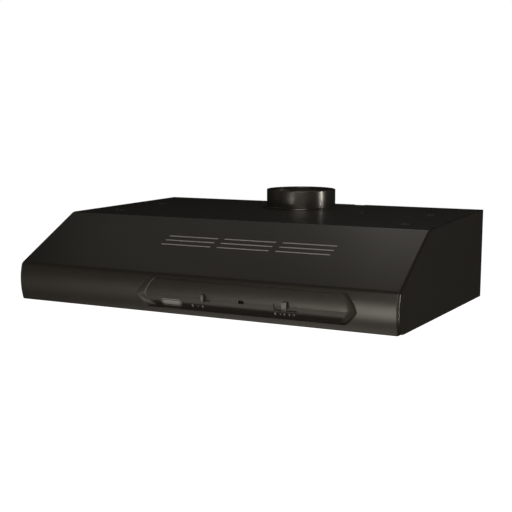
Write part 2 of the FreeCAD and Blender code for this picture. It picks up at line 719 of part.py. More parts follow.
def make_duct_collar():
    outer = cylinder("collar_tube", "z", "collar_radius", ("-2 * sheet", "collar_height"), (0, COLLAR_Y))
    flange = cylinder("collar_skirt", "z", "collar_flange", ("-2 * sheet", "-sheet"), (0, COLLAR_Y))
    bore_span = (-5, "collar_height + 1")
    bore = cylinder("collar_bore", "z", "collar_radius - collar_wall", bore_span, (0, COLLAR_Y))
    rod_span = ("-collar_radius - 2", "collar_radius + 2")
    rod_hole = cylinder("rod_hole", "x", "damper_rod", rod_span, (COLLAR_Y, "damper_level"))
    holes = [cylinder("collar_hole", "z", "screw_shank", (-4, 1), place) for place in ADAPTER_SCREWS]
    keep(cut("duct_collar", fuse("collar_body", outer, flange), bore, rod_hole, *holes), "duct_collar")
    rod_span = ("-collar_radius + 0.2", "collar_radius - 0.2")
    keep(cylinder("damper_pin", "x", "damper_rod", rod_span, (COLLAR_Y, "damper_level")), "damper_rod")


def make_damper_flap(name, side):
    """Half a disc with rolled knuckles on the rod; the two flaps' knuckles alternate."""
    gap = 4
    leaf_z = ("damper_level - 2.8", "damper_level - 2")
    leaf_radius = "collar_radius - collar_wall - 1.2"
    disc = cylinder(f"{name}_disc", "z", leaf_radius, leaf_z, (0, COLLAR_Y))
    if side > 0:
        reach = (f"{COLLAR_Y} + {gap}", f"{COLLAR_Y} + collar_flange")
        leaf_y = (COLLAR_Y, f"{COLLAR_Y} + {gap} + 2")
    else:
        reach = (f"{COLLAR_Y} - collar_flange", f"{COLLAR_Y} - {gap}")
        leaf_y = (f"{COLLAR_Y} - {gap} - 2", COLLAR_Y)
    limit_x = ("-collar_flange", "collar_flange")
    half = common(f"{name}_half", disc, box(f"{name}_limit", limit_x, reach, (0, 30)))
    pieces, bores = [half], []
    for start in ((-56, 8) if side > 0 else (-26, 38)):
        span = (start, start + 18)
        axis = (COLLAR_Y, "damper_level")
        pieces.append(cylinder(f"{name}_knuckle", "x", "damper_rod + 1.4", span, axis))
        pieces.append(box(f"{name}_leaf", span, leaf_y, leaf_z))
        bore_span = (start - 1, start + 19)
        bores.append(cylinder(f"{name}_bore", "x", "damper_rod + running", bore_span, axis))
    keep(cut(name, fuse(f"{name}_body", *pieces), *bores), name)


def spiral(grow):
    """The scroll's spiral, from the cut-off over the top, front and bottom to the rear, seen from +X."""
    def rise(first, second):
        return f"(({first} + {second}) / 2 - sqrt(({first}) ^ 2 + ({second}) ^ 2) / 2)"

    top, front, bottom, rear = (f"({radius} + {grow})" for radius in (62, 72, 84, 96))
    return [
        (f"wheel_y + 28 - {grow}", f"wheel_z + 55 + {grow}", 1.7),
        ("wheel_y", f"wheel_z + {top}", rise(top, front)),
        (f"wheel_y - {front}", "wheel_z", rise(front, bottom)),
        ("wheel_y", f"wheel_z - {bottom}", rise(bottom, rear)),
        (f"wheel_y + {rear}", "wheel_z"),
        (f"wheel_y + {rear}", "-3 * sheet"),
        (f"wheel_y + 28 - {grow}", "-3 * sheet"),
    ]


def make_blower():
    outside = prism("scroll_outside", "YZ", spiral(1), ("-scroll_half", "scroll_half"))
    inside = prism("scroll_inside", "YZ", spiral(0), ("-scroll_half - 1", "scroll_half + 1"))
    mouth_x, mouth_y = ("-scroll_half - 1", "scroll_half + 1"), ("wheel_y + 28", "wheel_y + 96")
    clear = box("scroll_mouth", mouth_x, mouth_y, (-4, 1))
    keep(cut("blower_scroll", outside, inside, clear), "blower_scroll")
    for name, side in SIDES:
        span = mirrored("scroll_half", "scroll_half + 1", side)
        plate = prism(f"{name}_cheek", "YZ", spiral(1), span)
        eye_span = mirrored("scroll_half - 1", "scroll_half + 2", side)
        eye = cylinder(f"{name}_eye", "x", 42, eye_span, ("wheel_y", "wheel_z"))
        tools = [eye]
        if side < 0:
            tools += [cylinder("leg_hole", "x", 2, eye_span, place) for place in bracket_places(50)]
        keep(cut(f"{name}_side_plate", plate, *tools), f"blower_plate_{name}")

    plate_x = ("-collar_flange", "collar_flange")
    plate_y = (f"{COLLAR_Y} - collar_flange", f"{COLLAR_Y} + collar_flange")
    plate = box("adapter", plate_x, plate_y, ("-3 * sheet", "-2 * sheet"))
    mouth = box("adapter_mouth", ("-scroll_half + 1", "scroll_half - 1"), mouth_y, (-5, 0))
    holes = [cylinder("adapter_hole", "z", "screw_shank", (-5, 0), place) for place in ADAPTER_SCREWS]
    keep(cut("adapter_plate", plate, mouth, *holes), "adapter_plate")


def make_impeller():
    centre = ("wheel_y", "wheel_z")
    rings = []
    for name, span in (("near", (-45, -43)), ("far", (43, 45))):
        ring = cylinder(f"{name}_ring", "x", "wheel_radius", span, centre)
        eye = cylinder(f"{name}_ring_eye", "x", "wheel_radius - 8", (span[0] - 1, span[1] + 1), centre)
        rings.append(cut(f"{name}_rim", ring, eye))
    disc = cylinder("wheel_disc", "x", "wheel_radius - 1", (-0.6, 0.6), centre)
    hub = cylinder("wheel_hub", "x", 10, (-12, 12), centre)
    blades = []
    for index in range(int(number("blades"))):
        blade = doc.addObject("Part::Box", "blade")
        angle = f"{index} * 360 / blades"
        blade.setExpression("Length", "90")
        blade.setExpression("Width", "7")
        blade.setExpression("Height", "0.8")
        blade.Placement = FreeCAD.Placement(FreeCAD.Vector(-45, 0, 0), FreeCAD.Rotation(X_AXIS, 1 + index))
        blade.setExpression("Placement.Rotation.Angle", bound(f"{angle} + 0.001"))
        blade.setExpression("Placement.Base.y", bound(f"wheel_y + (wheel_radius - 7.5) * cos({angle})"))
        blade.setExpression("Placement.Base.z", bound(f"wheel_z + (wheel_radius - 7.5) * sin({angle})"))
        blades.append(blade)
    wheel = fuse("wheel", disc, hub, *rings, *blades)
    bore = cylinder("hub_bore", "x", "shaft_radius", (-13, 13), centre)
    keep(cut("impeller", wheel, bore), "impeller")
    keep(cylinder("shaft", "x", "shaft_radius", (-122, 14), centre), "motor_shaft")
    core = cylinder("rotor_core", "x", 21, (-115, -78), centre)
    core_bore = cylinder("rotor_bore", "x", "shaft_radius", (-116, -77), centre)
    keep(cut("rotor", core, core_bore), "motor_rotor")


def bracket_places(radius):
    """Where the motor bracket's three legs meet the blower's left plate."""
    return [
        (f"wheel_y + {radius} * cos({angle})", f"wheel_z + {radius} * sin({angle})")
        for angle in (90, 210, 330)
    ]


def make_motor():
    centre = ("wheel_y", "wheel_z")
    can = cylinder("can_body", "x", "motor_radius", (-126, -68), centre)
    room = cylinder("can_room", "x", "motor_radius - 1.5", (-124, -67), centre)
    keep(cut("motor_can", can, room), "motor_can")
    core = cylinder("stator_core", "x", "motor_radius - 1.5", (-115, -78), centre)
    core_bore = cylinder("stator_bore", "x", 21.5, (-116, -77), centre)
    keep(cut("stator", core, core_bore), "motor_stator")
    cap = cylinder("cap_disc", "x", "motor_radius", (-68, -65.5), centre)
    cap_bore = cylinder("cap_bore", "x", 8, (-69, -65), centre)
    keep(cut("end_cap", cap, cap_bore), "motor_end_cap")
    bushes = []
    for name, span, radius in (("front", (-72, -63), 8), ("rear", (-124, -117), 10)):
        bush = cylinder(f"{name}_bush", "x", radius, span, centre)
        bore_span = (span[0] - 1, span[1] + 1)
        bore = cylinder(f"{name}_bore", "x", "shaft_radius + running", bore_span, centre)
        bushes.append(cut(f"{name}_bearing", bush, bore))
    keep(fuse("bearings", *bushes), "motor_bearings")

    band = cylinder("band", "x", "motor_radius + 2", (-96, -82), centre)
    band_room = cylinder("band_room", "x", "motor_radius", (-97, -81), centre)
    legs = []
    for y, z in bracket_places(50):
        legs.append(cylinder("leg", "x", 2, (-96, -50), (y, z)))
    for angle in (90, 210, 330):
        arm = doc.addObject("Part::Box", "arm")
        arm.setExpression("Length", "3")
        arm.setExpression("Width", bound("52 - motor_radius - 1"))
        arm.setExpression("Height", "8")
        arm.Placement = FreeCAD.Placement(FreeCAD.Vector(-96, 0, 0), FreeCAD.Rotation(X_AXIS, angle))
        along, across = "(motor_radius + 1)", 4
        place_y = f"wheel_y + {along} * cos({angle}) + {across} * sin({angle})"
        place_z = f"wheel_z + {along} * sin({angle}) - {across} * cos({angle})"
        arm.setExpression("Placement.Base.y", bound(place_y))
        arm.setExpression("Placement.Base.z", bound(place_z))
        legs.append(arm)
    keep(fuse("bracket", cut("band_ring", band, band_room), *legs), "motor_bracket")


def make_wiring_boxes():
    half, low = 30, "-box_drop"
    x, y = "cable_x", "cable_y"
    box_x, box_y = ((f"{middle} - {half}", f"{middle} + {half}") for middle in (x, y))
    room_x, room_y = ((f"{near} + sheet", f"{far} - sheet") for near, far in (box_x, box_y))
    outer = box("box_outer", box_x, box_y, (low, "-sheet"))
    inner = box("box_inner", room_x, room_y, (f"{low} - 1", 0))
    keep(cut("terminal_box", outer, inner), "terminal_box")
    cover = box("box_cover", box_x, box_y, (f"{low} - sheet", low))
    screw_hole = countersink("cover_hole", f"{low} - sheet", low, COVER_SCREW)
    keep(cut("terminal_cover", cover, screw_hole), "terminal_cover")
    block_z = (f"{low} + 8", f"{low} + 20")
    block = box("block", (f"{x} + 10", f"{x} + 24"), (f"{y} - 22", f"{y} + 22"), block_z)
    keep(block, "terminal_block")
    keep(box("start_capacitor", (70, 118), (20, 42), (-36, "-sheet")), "motor_capacitor")


make_top_panel()
make_front_skin()
for side_name, side_sign in SIDES:
    make_side_panel(f"side_panel_{side_name}", side_sign)
make_rear_panel()
make_panel_screws()
make_underside_pan()
make_hinge_blocks()
for side_name, side_sign in SIDES:
    make_filter(f"filter_{side_name}", side_sign)
    make_lamp(f"lamp_{side_name}", side_sign)
make_controls()
make_duct_collar()
make_damper_flap("damper_flap_rear", 1)
make_damper_flap("damper_flap_front", -1)
make_blower()
make_impeller()
make_motor()
make_wiring_boxes()

doc.recompute()

failed = [item.Name for item in doc.Objects if {"Invalid", "Error"} & set(item.State)]
if failed:
    raise RuntimeError(f"objects that did not compute: {failed}")
os.makedirs("parts", exist_ok=True)
for piece in parts:
    if piece.Shape.isNull() or not piece.Shape.isValid():
        raise RuntimeError(f"{piece.Label} has no valid shape")
for piece in parts:
    piece.Shape.exportStep(f"parts/{piece.Label}.step")
print(len(parts), "sub-parts")
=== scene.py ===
import json
import math

import bmesh
import bpy
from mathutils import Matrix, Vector


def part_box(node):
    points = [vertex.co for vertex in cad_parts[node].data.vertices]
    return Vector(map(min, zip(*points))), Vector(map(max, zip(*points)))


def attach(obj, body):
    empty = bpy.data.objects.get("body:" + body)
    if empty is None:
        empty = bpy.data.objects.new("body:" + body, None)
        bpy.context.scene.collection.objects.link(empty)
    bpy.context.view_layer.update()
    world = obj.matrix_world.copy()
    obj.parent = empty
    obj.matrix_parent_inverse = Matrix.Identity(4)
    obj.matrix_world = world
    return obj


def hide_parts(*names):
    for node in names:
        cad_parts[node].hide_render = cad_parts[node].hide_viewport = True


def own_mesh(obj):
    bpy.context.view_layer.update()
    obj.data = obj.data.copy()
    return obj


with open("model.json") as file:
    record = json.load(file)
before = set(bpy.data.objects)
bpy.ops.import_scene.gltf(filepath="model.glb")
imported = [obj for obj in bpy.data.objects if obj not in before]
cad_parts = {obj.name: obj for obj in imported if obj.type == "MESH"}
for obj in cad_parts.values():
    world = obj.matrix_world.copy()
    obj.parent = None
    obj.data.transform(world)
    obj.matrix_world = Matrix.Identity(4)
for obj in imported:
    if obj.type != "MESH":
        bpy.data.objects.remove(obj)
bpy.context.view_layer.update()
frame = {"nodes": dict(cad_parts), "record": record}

MM = 0.001
WHITE = (1.0, 1.0, 1.0, 1.0)
WARM = (1.0, 0.97, 0.92)


# ---------------------------------------------------------------- camera, floor and light

TARGET = Vector((0.0, 0.0, -0.111))
CAMERA_AZIMUTH, CAMERA_ELEVATION, CAMERA_DISTANCE = 25.28, 8.96, 1.9405
FOCAL_LENGTH = 65.98
SHIFT_X, SHIFT_Y = -0.0284, 0.0198
FLOOR_LEVEL, FLOOR_HALF = -0.62, 6.0
ROOM_COLOR, ROOM_STRENGTH = (1.0, 0.96, 0.88, 1.0), 0.008


def direction(azimuth, elevation):
    """A unit vector from the object; azimuth 0 is the front and 90 is the right-hand side."""
    a, e = math.radians(azimuth), math.radians(elevation)
    return Vector((math.sin(a) * math.cos(e), -math.cos(a) * math.cos(e), math.sin(e)))


def look_at(thing, place, target):
    """Puts a light or camera at a place, facing the target."""
    thing.location = place
    thing.rotation_mode = "QUATERNION"
    thing.rotation_quaternion = (Vector(target) - Vector(place)).to_track_quat("-Z", "Y")


def add_camera():
    data = bpy.data.cameras.new("camera")
    data.lens = FOCAL_LENGTH
    data.shift_x = SHIFT_X
    data.shift_y = SHIFT_Y
    camera = bpy.data.objects.new("camera", data)
    bpy.context.scene.collection.objects.link(camera)
    place = TARGET + direction(CAMERA_AZIMUTH, CAMERA_ELEVATION) * CAMERA_DISTANCE
    look_at(camera, place, TARGET)
    bpy.context.scene.camera = camera


def add_area_light(name, azimuth, elevation, distance, size, power):
    """A rectangular soft box aimed at the object; size is its width and height."""
    data = bpy.data.lights.new(name, "AREA")
    data.energy = power
    data.color = WARM
    data.shape = "RECTANGLE"
    data.size, data.size_y = size
    light = bpy.data.objects.new(name, data)
    bpy.context.scene.collection.objects.link(light)
    look_at(light, TARGET + direction(azimuth, elevation) * distance, TARGET)
    light.visible_camera = False


def add_world():
    """White behind the object, and a dark room for it to reflect."""
    world = bpy.data.worlds.new("studio")
    bpy.context.scene.world = world
    world.use_nodes = True
    nodes, links = world.node_tree.nodes, world.node_tree.links
    nodes.clear()
    seen = nodes.new("ShaderNodeBackground")
    seen.inputs["Color"].default_value = WHITE
    room = nodes.new("ShaderNodeBackground")
    room.inputs["Color"].default_value = ROOM_COLOR
    room.inputs["Strength"].default_value = ROOM_STRENGTH
    rays = nodes.new("ShaderNodeLightPath")
    mix = nodes.new("ShaderNodeMixShader")
    out = nodes.new("ShaderNodeOutputWorld")
    links.new(rays.outputs["Is Camera Ray"], mix.inputs[0])
    links.new(room.outputs[0], mix.inputs[1])
    links.new(seen.outputs[0], mix.inputs[2])
    links.new(mix.outputs[0], out.inputs["Surface"])


def add_floor():
    """A plain pale floor that doesn't colour the object."""
    mesh = bpy.data.meshes.new("floor")
    signs = ((-1, -1), (1, -1), (1, 1), (-1, 1))
    corners = [(x * FLOOR_HALF, y * FLOOR_HALF, FLOOR_LEVEL) for x, y in signs]
    mesh.from_pydata(corners, [], [(0, 1, 2, 3)])
    floor = bpy.data.objects.new("floor", mesh)
    bpy.context.scene.collection.objects.link(floor)
    material = bpy.data.materials.new("pale_floor")
    material.use_nodes = True
    shader = material.node_tree.nodes["Principled BSDF"]
    shader.inputs["Base Color"].default_value = (0.9, 0.9, 0.9, 1.0)
    shader.inputs["Roughness"].default_value = 0.9
    shader.inputs["Emission Color"].default_value = WHITE
    shader.inputs["Emission Strength"].default_value = 1.0
    mesh.materials.append(material)
    floor.visible_glossy = False
    floor.visible_diffuse = False


bpy.context.scene.view_settings.view_transform = "Standard"
add_camera()
add_world()
add_floor()
for row in (
    ("front_box", -7, -9, 3.0, (1.0, 1.0), 28),
    ("front_fill", 36, -9, 3.0, (3.0, 1.0), 9),
    ("front_high", 20, 28, 3.0, (1.8, 1.0), 26),
    ("near_left", -28, -9, 3.0, (0.9, 1.0), 3.0),
    ("far_left", -62, -9, 3.0, (1.6, 1.0), 2.5),
    ("floor_bounce", -20, -48, 2.6, (2.0, 1.2), 11),
    ("back_wide", 208, 57, 2.8, (3.2, 1.2), 3.2),
    ("back_narrow", 184, 57, 2.8, (1.4, 1.2), 4.0),
    ("back_right", 152, -8, 3.0, (1.2, 1.2), 0.08),
    ("side_strip", 97, 0, 2.6, (0.05, 1.2), 21),
):
    add_area_light(*row)


# ---------------------------------------------------------------- materials

COATING_TINT = (1.0, 0.95, 0.88, 1.0)
ROLL_START, ROLL_FULL = 0.3772, 0.3784
SIDE_FULL, SIDE_START = 0.37993, 0.37999
ROLL_GLOSS = -0.52
SHARPEST, BLUNTEST = 0.90, 0.995
GRAIN_HEIGHT = 0.0002


def new_material(name, color, roughness, metallic=0.0, specular=0.5):
    """A Principled material; returns it with its node tree and shader."""
    material = bpy.data.materials.new(name)
    material.use_nodes = True
    tree = material.node_tree
    shader = tree.nodes["Principled BSDF"]
    shader.inputs["Base Color"].default_value = (*color, 1.0)
    shader.inputs["Roughness"].default_value = roughness
    shader.inputs["Metallic"].default_value = metallic
    shader.inputs["Specular IOR Level"].default_value = specular
    return material, tree, shader


def noise(tree, scale, detail=2.0, stretch=None):
    """Noise in the object's own metres, optionally stretched along an axis."""
    place = tree.nodes.new("ShaderNodeTexCoord")
    texture = tree.nodes.new("ShaderNodeTexNoise")
    texture.inputs["Scale"].default_value = scale
    texture.inputs["Detail"].default_value = detail
    if stretch:
        mapping = tree.nodes.new("ShaderNodeMapping")
        mapping.inputs["Scale"].default_value = stretch
        tree.links.new(place.outputs["Object"], mapping.inputs["Vector"])
        tree.links.new(mapping.outputs["Vector"], texture.inputs["Vector"])
    else:
        tree.links.new(place.outputs["Object"], texture.inputs["Vector"])
    return texture.outputs["Fac"]


def spread(tree, value, low, high):
    """Maps a 0-1 value to a range."""
    node = tree.nodes.new("ShaderNodeMapRange")
    node.inputs["To Min"].default_value = low
    node.inputs["To Max"].default_value = high
    tree.links.new(value, node.inputs["Value"])
    return node.outputs["Result"]


def add_bump(tree, shader, height, strength):
    bump = tree.nodes.new("ShaderNodeBump")
    bump.inputs["Strength"].default_value = strength
    bump.inputs["Distance"].default_value = GRAIN_HEIGHT
    tree.links.new(height, bump.inputs["Height"])
    tree.links.new(bump.outputs["Normal"], shader.inputs["Normal"])


def edge_wear_and_highlight(tree, shader, base, worn_and_lit, radius, amount=1.0):
    """Lightens the colour on sharp edges: partly where paint thins or metal is rubbed bright,
    partly a painted highlight along the edges.
    """
    bevel = tree.nodes.new("ShaderNodeBevel")
    bevel.inputs["Radius"].default_value = radius
    geometry = tree.nodes.new("ShaderNodeNewGeometry")
    dot = tree.nodes.new("ShaderNodeVectorMath")
    dot.operation = "DOT_PRODUCT"
    tree.links.new(bevel.outputs["Normal"], dot.inputs[0])
    tree.links.new(geometry.outputs["Normal"], dot.inputs[1])
    edge = tree.nodes.new("ShaderNodeMapRange")
    edge.inputs["From Min"].default_value = BLUNTEST
    edge.inputs["From Max"].default_value = SHARPEST
    edge.inputs["To Max"].default_value = amount
    tree.links.new(dot.outputs["Value"], edge.inputs["Value"])
    mix = tree.nodes.new("ShaderNodeMix")
    mix.data_type = "RGBA"
    mix.inputs["A"].default_value = (*base, 1.0)
    mix.inputs["B"].default_value = (*worn_and_lit, 1.0)
    tree.links.new(edge.outputs["Result"], mix.inputs["Factor"])
    tree.links.new(mix.outputs["Result"], shader.inputs["Base Color"])


def math_node(tree, operation, first, second=None):
    """A Math node on numbers or other nodes' outputs."""
    node = tree.nodes.new("ShaderNodeMath")
    node.operation = operation
    for index, value in enumerate((first, second)):
        if isinstance(value, (int, float)):
            node.inputs[index].default_value = value
        elif value is not None:
            tree.links.new(value, node.inputs[index])
    return node.outputs[0]


def smoother_roll(tree, roughness):
    """Glossier paint on the rolled edges at both ends of the front, where it has flowed out."""
    place = tree.nodes.new("ShaderNodeTexCoord")
    split = tree.nodes.new("ShaderNodeSeparateXYZ")
    tree.links.new(place.outputs["Object"], split.inputs[0])
    across = math_node(tree, "ABSOLUTE", split.outputs["X"])
    masks = []
    for start, end in ((ROLL_START, ROLL_FULL), (SIDE_START, SIDE_FULL)):
        edge = spread(tree, across, 0.0, 1.0)
        edge.node.inputs["From Min"].default_value = start
        edge.node.inputs["From Max"].default_value = end
        masks.append(edge)
    share = math_node(tree, "MULTIPLY", math_node(tree, "MULTIPLY", *masks), ROLL_GLOSS)
    return math_node(tree, "MULTIPLY", roughness, math_node(tree, "ADD", share, 1.0))


def make_enamel(name, color, roughness, rolled=False, specular=0.5):
    """Semi-gloss powder enamel: fine orange peel, slow gloss changes, thinner paint and a painted
    highlight on edges.
    """
    material, tree, shader = new_material(name, color, roughness, specular=specular)
    shader.inputs["Specular Tint"].default_value = COATING_TINT
    worn_and_lit = tuple(min(1.0, part * 1.7 + 0.005) for part in color)
    edge_wear_and_highlight(tree, shader, color, worn_and_lit, 0.0006, 0.5)
    cloud = spread(tree, noise(tree, 14.0, 3.0), roughness - 0.03, roughness + 0.03)
    tree.links.new(smoother_roll(tree, cloud) if rolled else cloud, shader.inputs["Roughness"])
    add_bump(tree, shader, noise(tree, 900.0), 0.08)
    return material


def make_brushed(name, color, roughness):
    """Rolled or brushed metal with fine lines along one axis."""
    material, tree, shader = new_material(name, color, roughness, metallic=1.0)
    # sharp edges are lightened: partly rubbed metal, partly a painted highlight
    edge_wear_and_highlight(tree, shader, color, tuple(min(1.0, part * 1.25) for part in color), 0.0006)
    lines = noise(tree, 1.0, 4.0, (4.0, 400.0, 400.0))
    gloss = spread(tree, lines, roughness - 0.08, roughness + 0.12)
    tree.links.new(gloss, shader.inputs["Roughness"])
    add_bump(tree, shader, lines, 0.1)
    return material


def make_plastic(name, color, roughness, specular=0.5):
    """Moulded plastic with a fine spark-eroded grain."""
    material, tree, shader = new_material(name, color, roughness, specular=specular)
    shader.inputs["Specular Tint"].default_value = COATING_TINT
    worn_and_lit = tuple(min(1.0, part * 1.4 + 0.005) for part in color)
    # sharp edges are lightened: partly rubbed plastic, partly a painted highlight
    edge_wear_and_highlight(tree, shader, color, worn_and_lit, 0.0005, 0.6)
    gloss = spread(tree, noise(tree, 40.0), roughness - 0.05, roughness + 0.05)
    tree.links.new(gloss, shader.inputs["Roughness"])
    add_bump(tree, shader, noise(tree, 1500.0), 0.12)
    return material


FINISHES = {
    "black_enamel": (make_enamel, (0.024, 0.0215, 0.0170), 0.36, {"rolled": True}),
    # the collar enamel is a lighter copy of the black enamel: its extra lightness is painted light
    # on the collar
    "collar_enamel": (make_enamel, (0.034, 0.031, 0.025), 0.25, {"specular": 1.0}),
    "galvanised": (make_brushed, (0.62, 0.63, 0.64), 0.42, {}),
    "black_plastic": (make_plastic, (0.026, 0.0235, 0.0190), 0.36, {}),
    "knob_plastic": (make_plastic, (0.13, 0.125, 0.108), 0.38, {}),
    "badge_metal": (make_plastic, (0.26, 0.255, 0.235), 0.34, {}),
    "mark_ink": (make_plastic, (0.42, 0.41, 0.38), 0.50, {}),
    "lens_plastic": (make_plastic, (0.005, 0.003, 0.003), 0.5, {"specular": 0.06}),
    "switch_plastic": (make_plastic, (0.03, 0.03, 0.03), 0.45, {}),
    "filter_aluminium": (make_brushed, (0.72, 0.73, 0.74), 0.34, {}),
    "mesh_aluminium": (make_brushed, (0.66, 0.67, 0.69), 0.40, {}),
    "steel": (make_brushed, (0.50, 0.51, 0.52), 0.32, {}),
    "screw_steel": (make_brushed, (0.42, 0.42, 0.42), 0.35, {}),
    "reflector": (make_brushed, (0.85, 0.85, 0.86), 0.18, {}),
    "ceramic": (make_plastic, (0.80, 0.78, 0.72), 0.45, {}),
    "bulb_glass": (make_plastic, (0.85, 0.84, 0.80), 0.30, {}),
    "lens_glass": (make_plastic, (0.75, 0.77, 0.78), 0.22, {}),
    "impeller_steel": (make_brushed, (0.58, 0.59, 0.60), 0.38, {}),
    "bronze": (make_brushed, (0.70, 0.50, 0.28), 0.35, {}),
    "stator_iron": (make_brushed, (0.20, 0.19, 0.19), 0.55, {}),
    "capacitor_plastic": (make_plastic, (0.10, 0.10, 0.11), 0.45, {}),
    "terminal_plastic": (make_plastic, (0.75, 0.75, 0.72), 0.45, {}),
}
MATERIALS = {slot: make(slot, color, roughness, **options)
             for slot, (make, color, roughness, options) in FINISHES.items()}
SLOTS = {entry["node"]: entry["material_slot"] for entry in frame["record"]["subparts"]}
BODIES = {node: body for body, nodes in frame["record"]["behaviour"]["bodies"].items()
          for node in nodes}

for node_name, slot_name in SLOTS.items():
    node = frame["nodes"][node_name]
    node.data.materials.clear()
    node.data.materials.append(MATERIALS[slot_name])


# ---------------------------------------------------------------- mesh tools
# They take millimetres and make meshes in metres.

def set_smooth(mesh, angle=32.0):
    """Smooth shading with sharp edges above an angle."""
    for face in mesh.polygons:
        face.use_smooth = True
    mesh.set_sharp_from_angle(angle=math.radians(angle))


def make_object(name, points, faces, angle=32.0):
    """An object from points in millimetres."""
    mesh = bpy.data.meshes.new(name)
    mesh.from_pydata([tuple(value * MM for value in point) for point in points], [], faces)
    mesh.update()
    tidy = bmesh.new()
    tidy.from_mesh(mesh)
    bmesh.ops.remove_doubles(tidy, verts=tidy.verts, dist=1e-6)
    bmesh.ops.recalc_face_normals(tidy, faces=tidy.faces)
    tidy.to_mesh(mesh)
    tidy.free()
    set_smooth(mesh, angle)
    piece = bpy.data.objects.new(name, mesh)
    bpy.context.scene.collection.objects.link(piece)
    return piece


def finish_piece(piece, node, slot=None):
    """Gives a piece the body of the CAD node that it stands for, and its finish."""
    slot = slot or SLOTS[node]
    piece.data.materials.clear()
    piece.data.materials.append(MATERIALS[slot])
    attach(piece, BODIES[node])
    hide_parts(node)


def bake(piece):
    """Applies a piece's modifiers."""
    graph = bpy.context.evaluated_depsgraph_get()
    mesh = bpy.data.meshes.new_from_object(piece.evaluated_get(graph))
    piece.modifiers.clear()
    old, piece.data = piece.data, mesh
    bpy.data.meshes.remove(old)


def carve(piece, cutters, angle=32.0):
    """Cuts closed shapes out of a piece."""
    for cutter in cutters:
        modifier = piece.modifiers.new("carve", "BOOLEAN")
        modifier.operation = "DIFFERENCE"
        modifier.solver = "EXACT"
        modifier.object = cutter
    bake(piece)
    for cutter in cutters:
        bpy.data.objects.remove(cutter)
    set_smooth(piece.data, angle)


def merge(name, pieces, angle=32.0):
    """Joins several meshes into one object."""
    joined = bmesh.new()
    for piece in pieces:
        joined.from_mesh(piece.data)
    mesh = bpy.data.meshes.new(name)
    joined.to_mesh(mesh)
    joined.free()
    for piece in pieces:
        bpy.data.objects.remove(piece)
    set_smooth(mesh, angle)
    result = bpy.data.objects.new(name, mesh)
    bpy.context.scene.collection.objects.link(result)
    return result


def rounded_block(name, low, high, radius, segments=3):
    """A block with rounded edges."""
    shape = bmesh.new()
    bmesh.ops.create_cube(shape, size=1.0)
    for vertex in shape.verts:
        for axis in range(3):
            middle, size = (low[axis] + high[axis]) / 2, high[axis] - low[axis]
            vertex.co[axis] = middle + vertex.co[axis] * size
    bmesh.ops.bevel(shape, geom=list(shape.edges), offset=radius, segments=segments,
                    profile=0.5, affect="EDGES")
    for vertex in shape.verts:
        vertex.co *= MM
    mesh = bpy.data.meshes.new(name)
    shape.to_mesh(mesh)
    shape.free()
    set_smooth(mesh)
    piece = bpy.data.objects.new(name, mesh)
    bpy.context.scene.collection.objects.link(piece)
    return piece


def extruded(name, outline, place, low, high, bevel=0.0):
    """A closed outline swept between two levels; place(a, b, level) turns it into a point."""
    count = len(outline)
    levels = [(low, 0.0), (high, 0.0)]
    if bevel:
        levels = [(low, bevel), (low + bevel, 0.0), (high - bevel, 0.0), (high, bevel)]
    rings = [(level, inset_outline(outline, inset)) for level, inset in levels]
    points = [place(a, b, level) for level, ring in rings for a, b in ring]
    last = len(rings) - 1
    faces = [tuple(reversed(range(count))), tuple(range(count * last, count * (last + 1)))]
    for ring in range(last):
        for k in range(count):
            following = (k + 1) % count
            faces.append((ring * count + k, ring * count + following,
                          (ring + 1) * count + following, (ring + 1) * count + k))
    return make_object(name, points, faces)


def inset_outline(outline, distance):
    """Moves a closed counter-clockwise outline inwards."""
    if not distance:
        return list(outline)
    result = []
    count = len(outline)
    for k, (a, b) in enumerate(outline):
        before = Vector(outline[k - 1])
        after = Vector(outline[(k + 1) % count])
        here = Vector((a, b))
        first = (here - before).normalized()
        second = (after - here).normalized()
        normal = Vector((-(first.y + second.y), first.x + second.x))
        if normal.length < 1e-9:
            result.append((a, b))
            continue
        normal.normalize()
        lean = max(0.35, normal.dot(Vector((-first.y, first.x))))
        moved = here + normal * distance / lean
        result.append((moved.x, moved.y))
    return result


def circle(radius, centre, segments=48):
    """A counter-clockwise circle."""
    steps = [math.tau * k / segments for k in range(segments)]
    return [(centre[0] + radius * math.cos(t), centre[1] + radius * math.sin(t)) for t in steps]


def box_outline(a, b):
    """A counter-clockwise rectangle between two limits each way."""
    return [(a[0], b[0]), (a[1], b[0]), (a[1], b[1]), (a[0], b[1])]


def capsule(start, end, middle, width, segments=10):
    """A counter-clockwise slot outline with round ends."""
    radius = width / 2
    turns = [math.pi * k / segments for k in range(segments + 1)]
    right = [(end - radius + radius * math.sin(t), middle - radius * math.cos(t)) for t in turns]
    left = [(start + radius - radius * math.sin(t), middle + radius * math.cos(t)) for t in turns]
    return right + left


def rounded_corners(points, reach, segments=6, closed=True):
    """Softens the corners of a polyline; reach is each corner's cut length, 0 to keep it sharp."""
    result = []
    count = len(points)
    for k, point in enumerate(points):
        here = Vector(point)
        if reach[k] == 0 or (not closed and k in (0, count - 1)):
            result.append(tuple(here))
            continue
        before, after = Vector(points[k - 1]) - here, Vector(points[(k + 1) % count]) - here
        start = here + before.normalized() * min(reach[k], before.length * 0.49)
        end = here + after.normalized() * min(reach[k], after.length * 0.49)
        for step in range(segments + 1):
            t = step / segments
            result.append(tuple(start * (1 - t) ** 2 + here * 2 * t * (1 - t) + end * t ** 2))
    return result


def lathe(name, profile, place, segments=96, angle=32.0):
    """Turns a closed profile of (radius, level) about an axis; place(x, y, level) sets the axis."""
    count = len(profile)
    points, faces = [], []
    for k in range(segments):
        t = math.tau * k / segments
        points += [place(radius * math.cos(t), radius * math.sin(t), level)
                   for radius, level in profile]
    for k in range(segments):
        for j in range(count):
            a, b = k * count, ((k + 1) % segments) * count
            following = (j + 1) % count
            faces.append((a + j, b + j, b + following, a + following))
    return make_object(name, points, faces, angle)


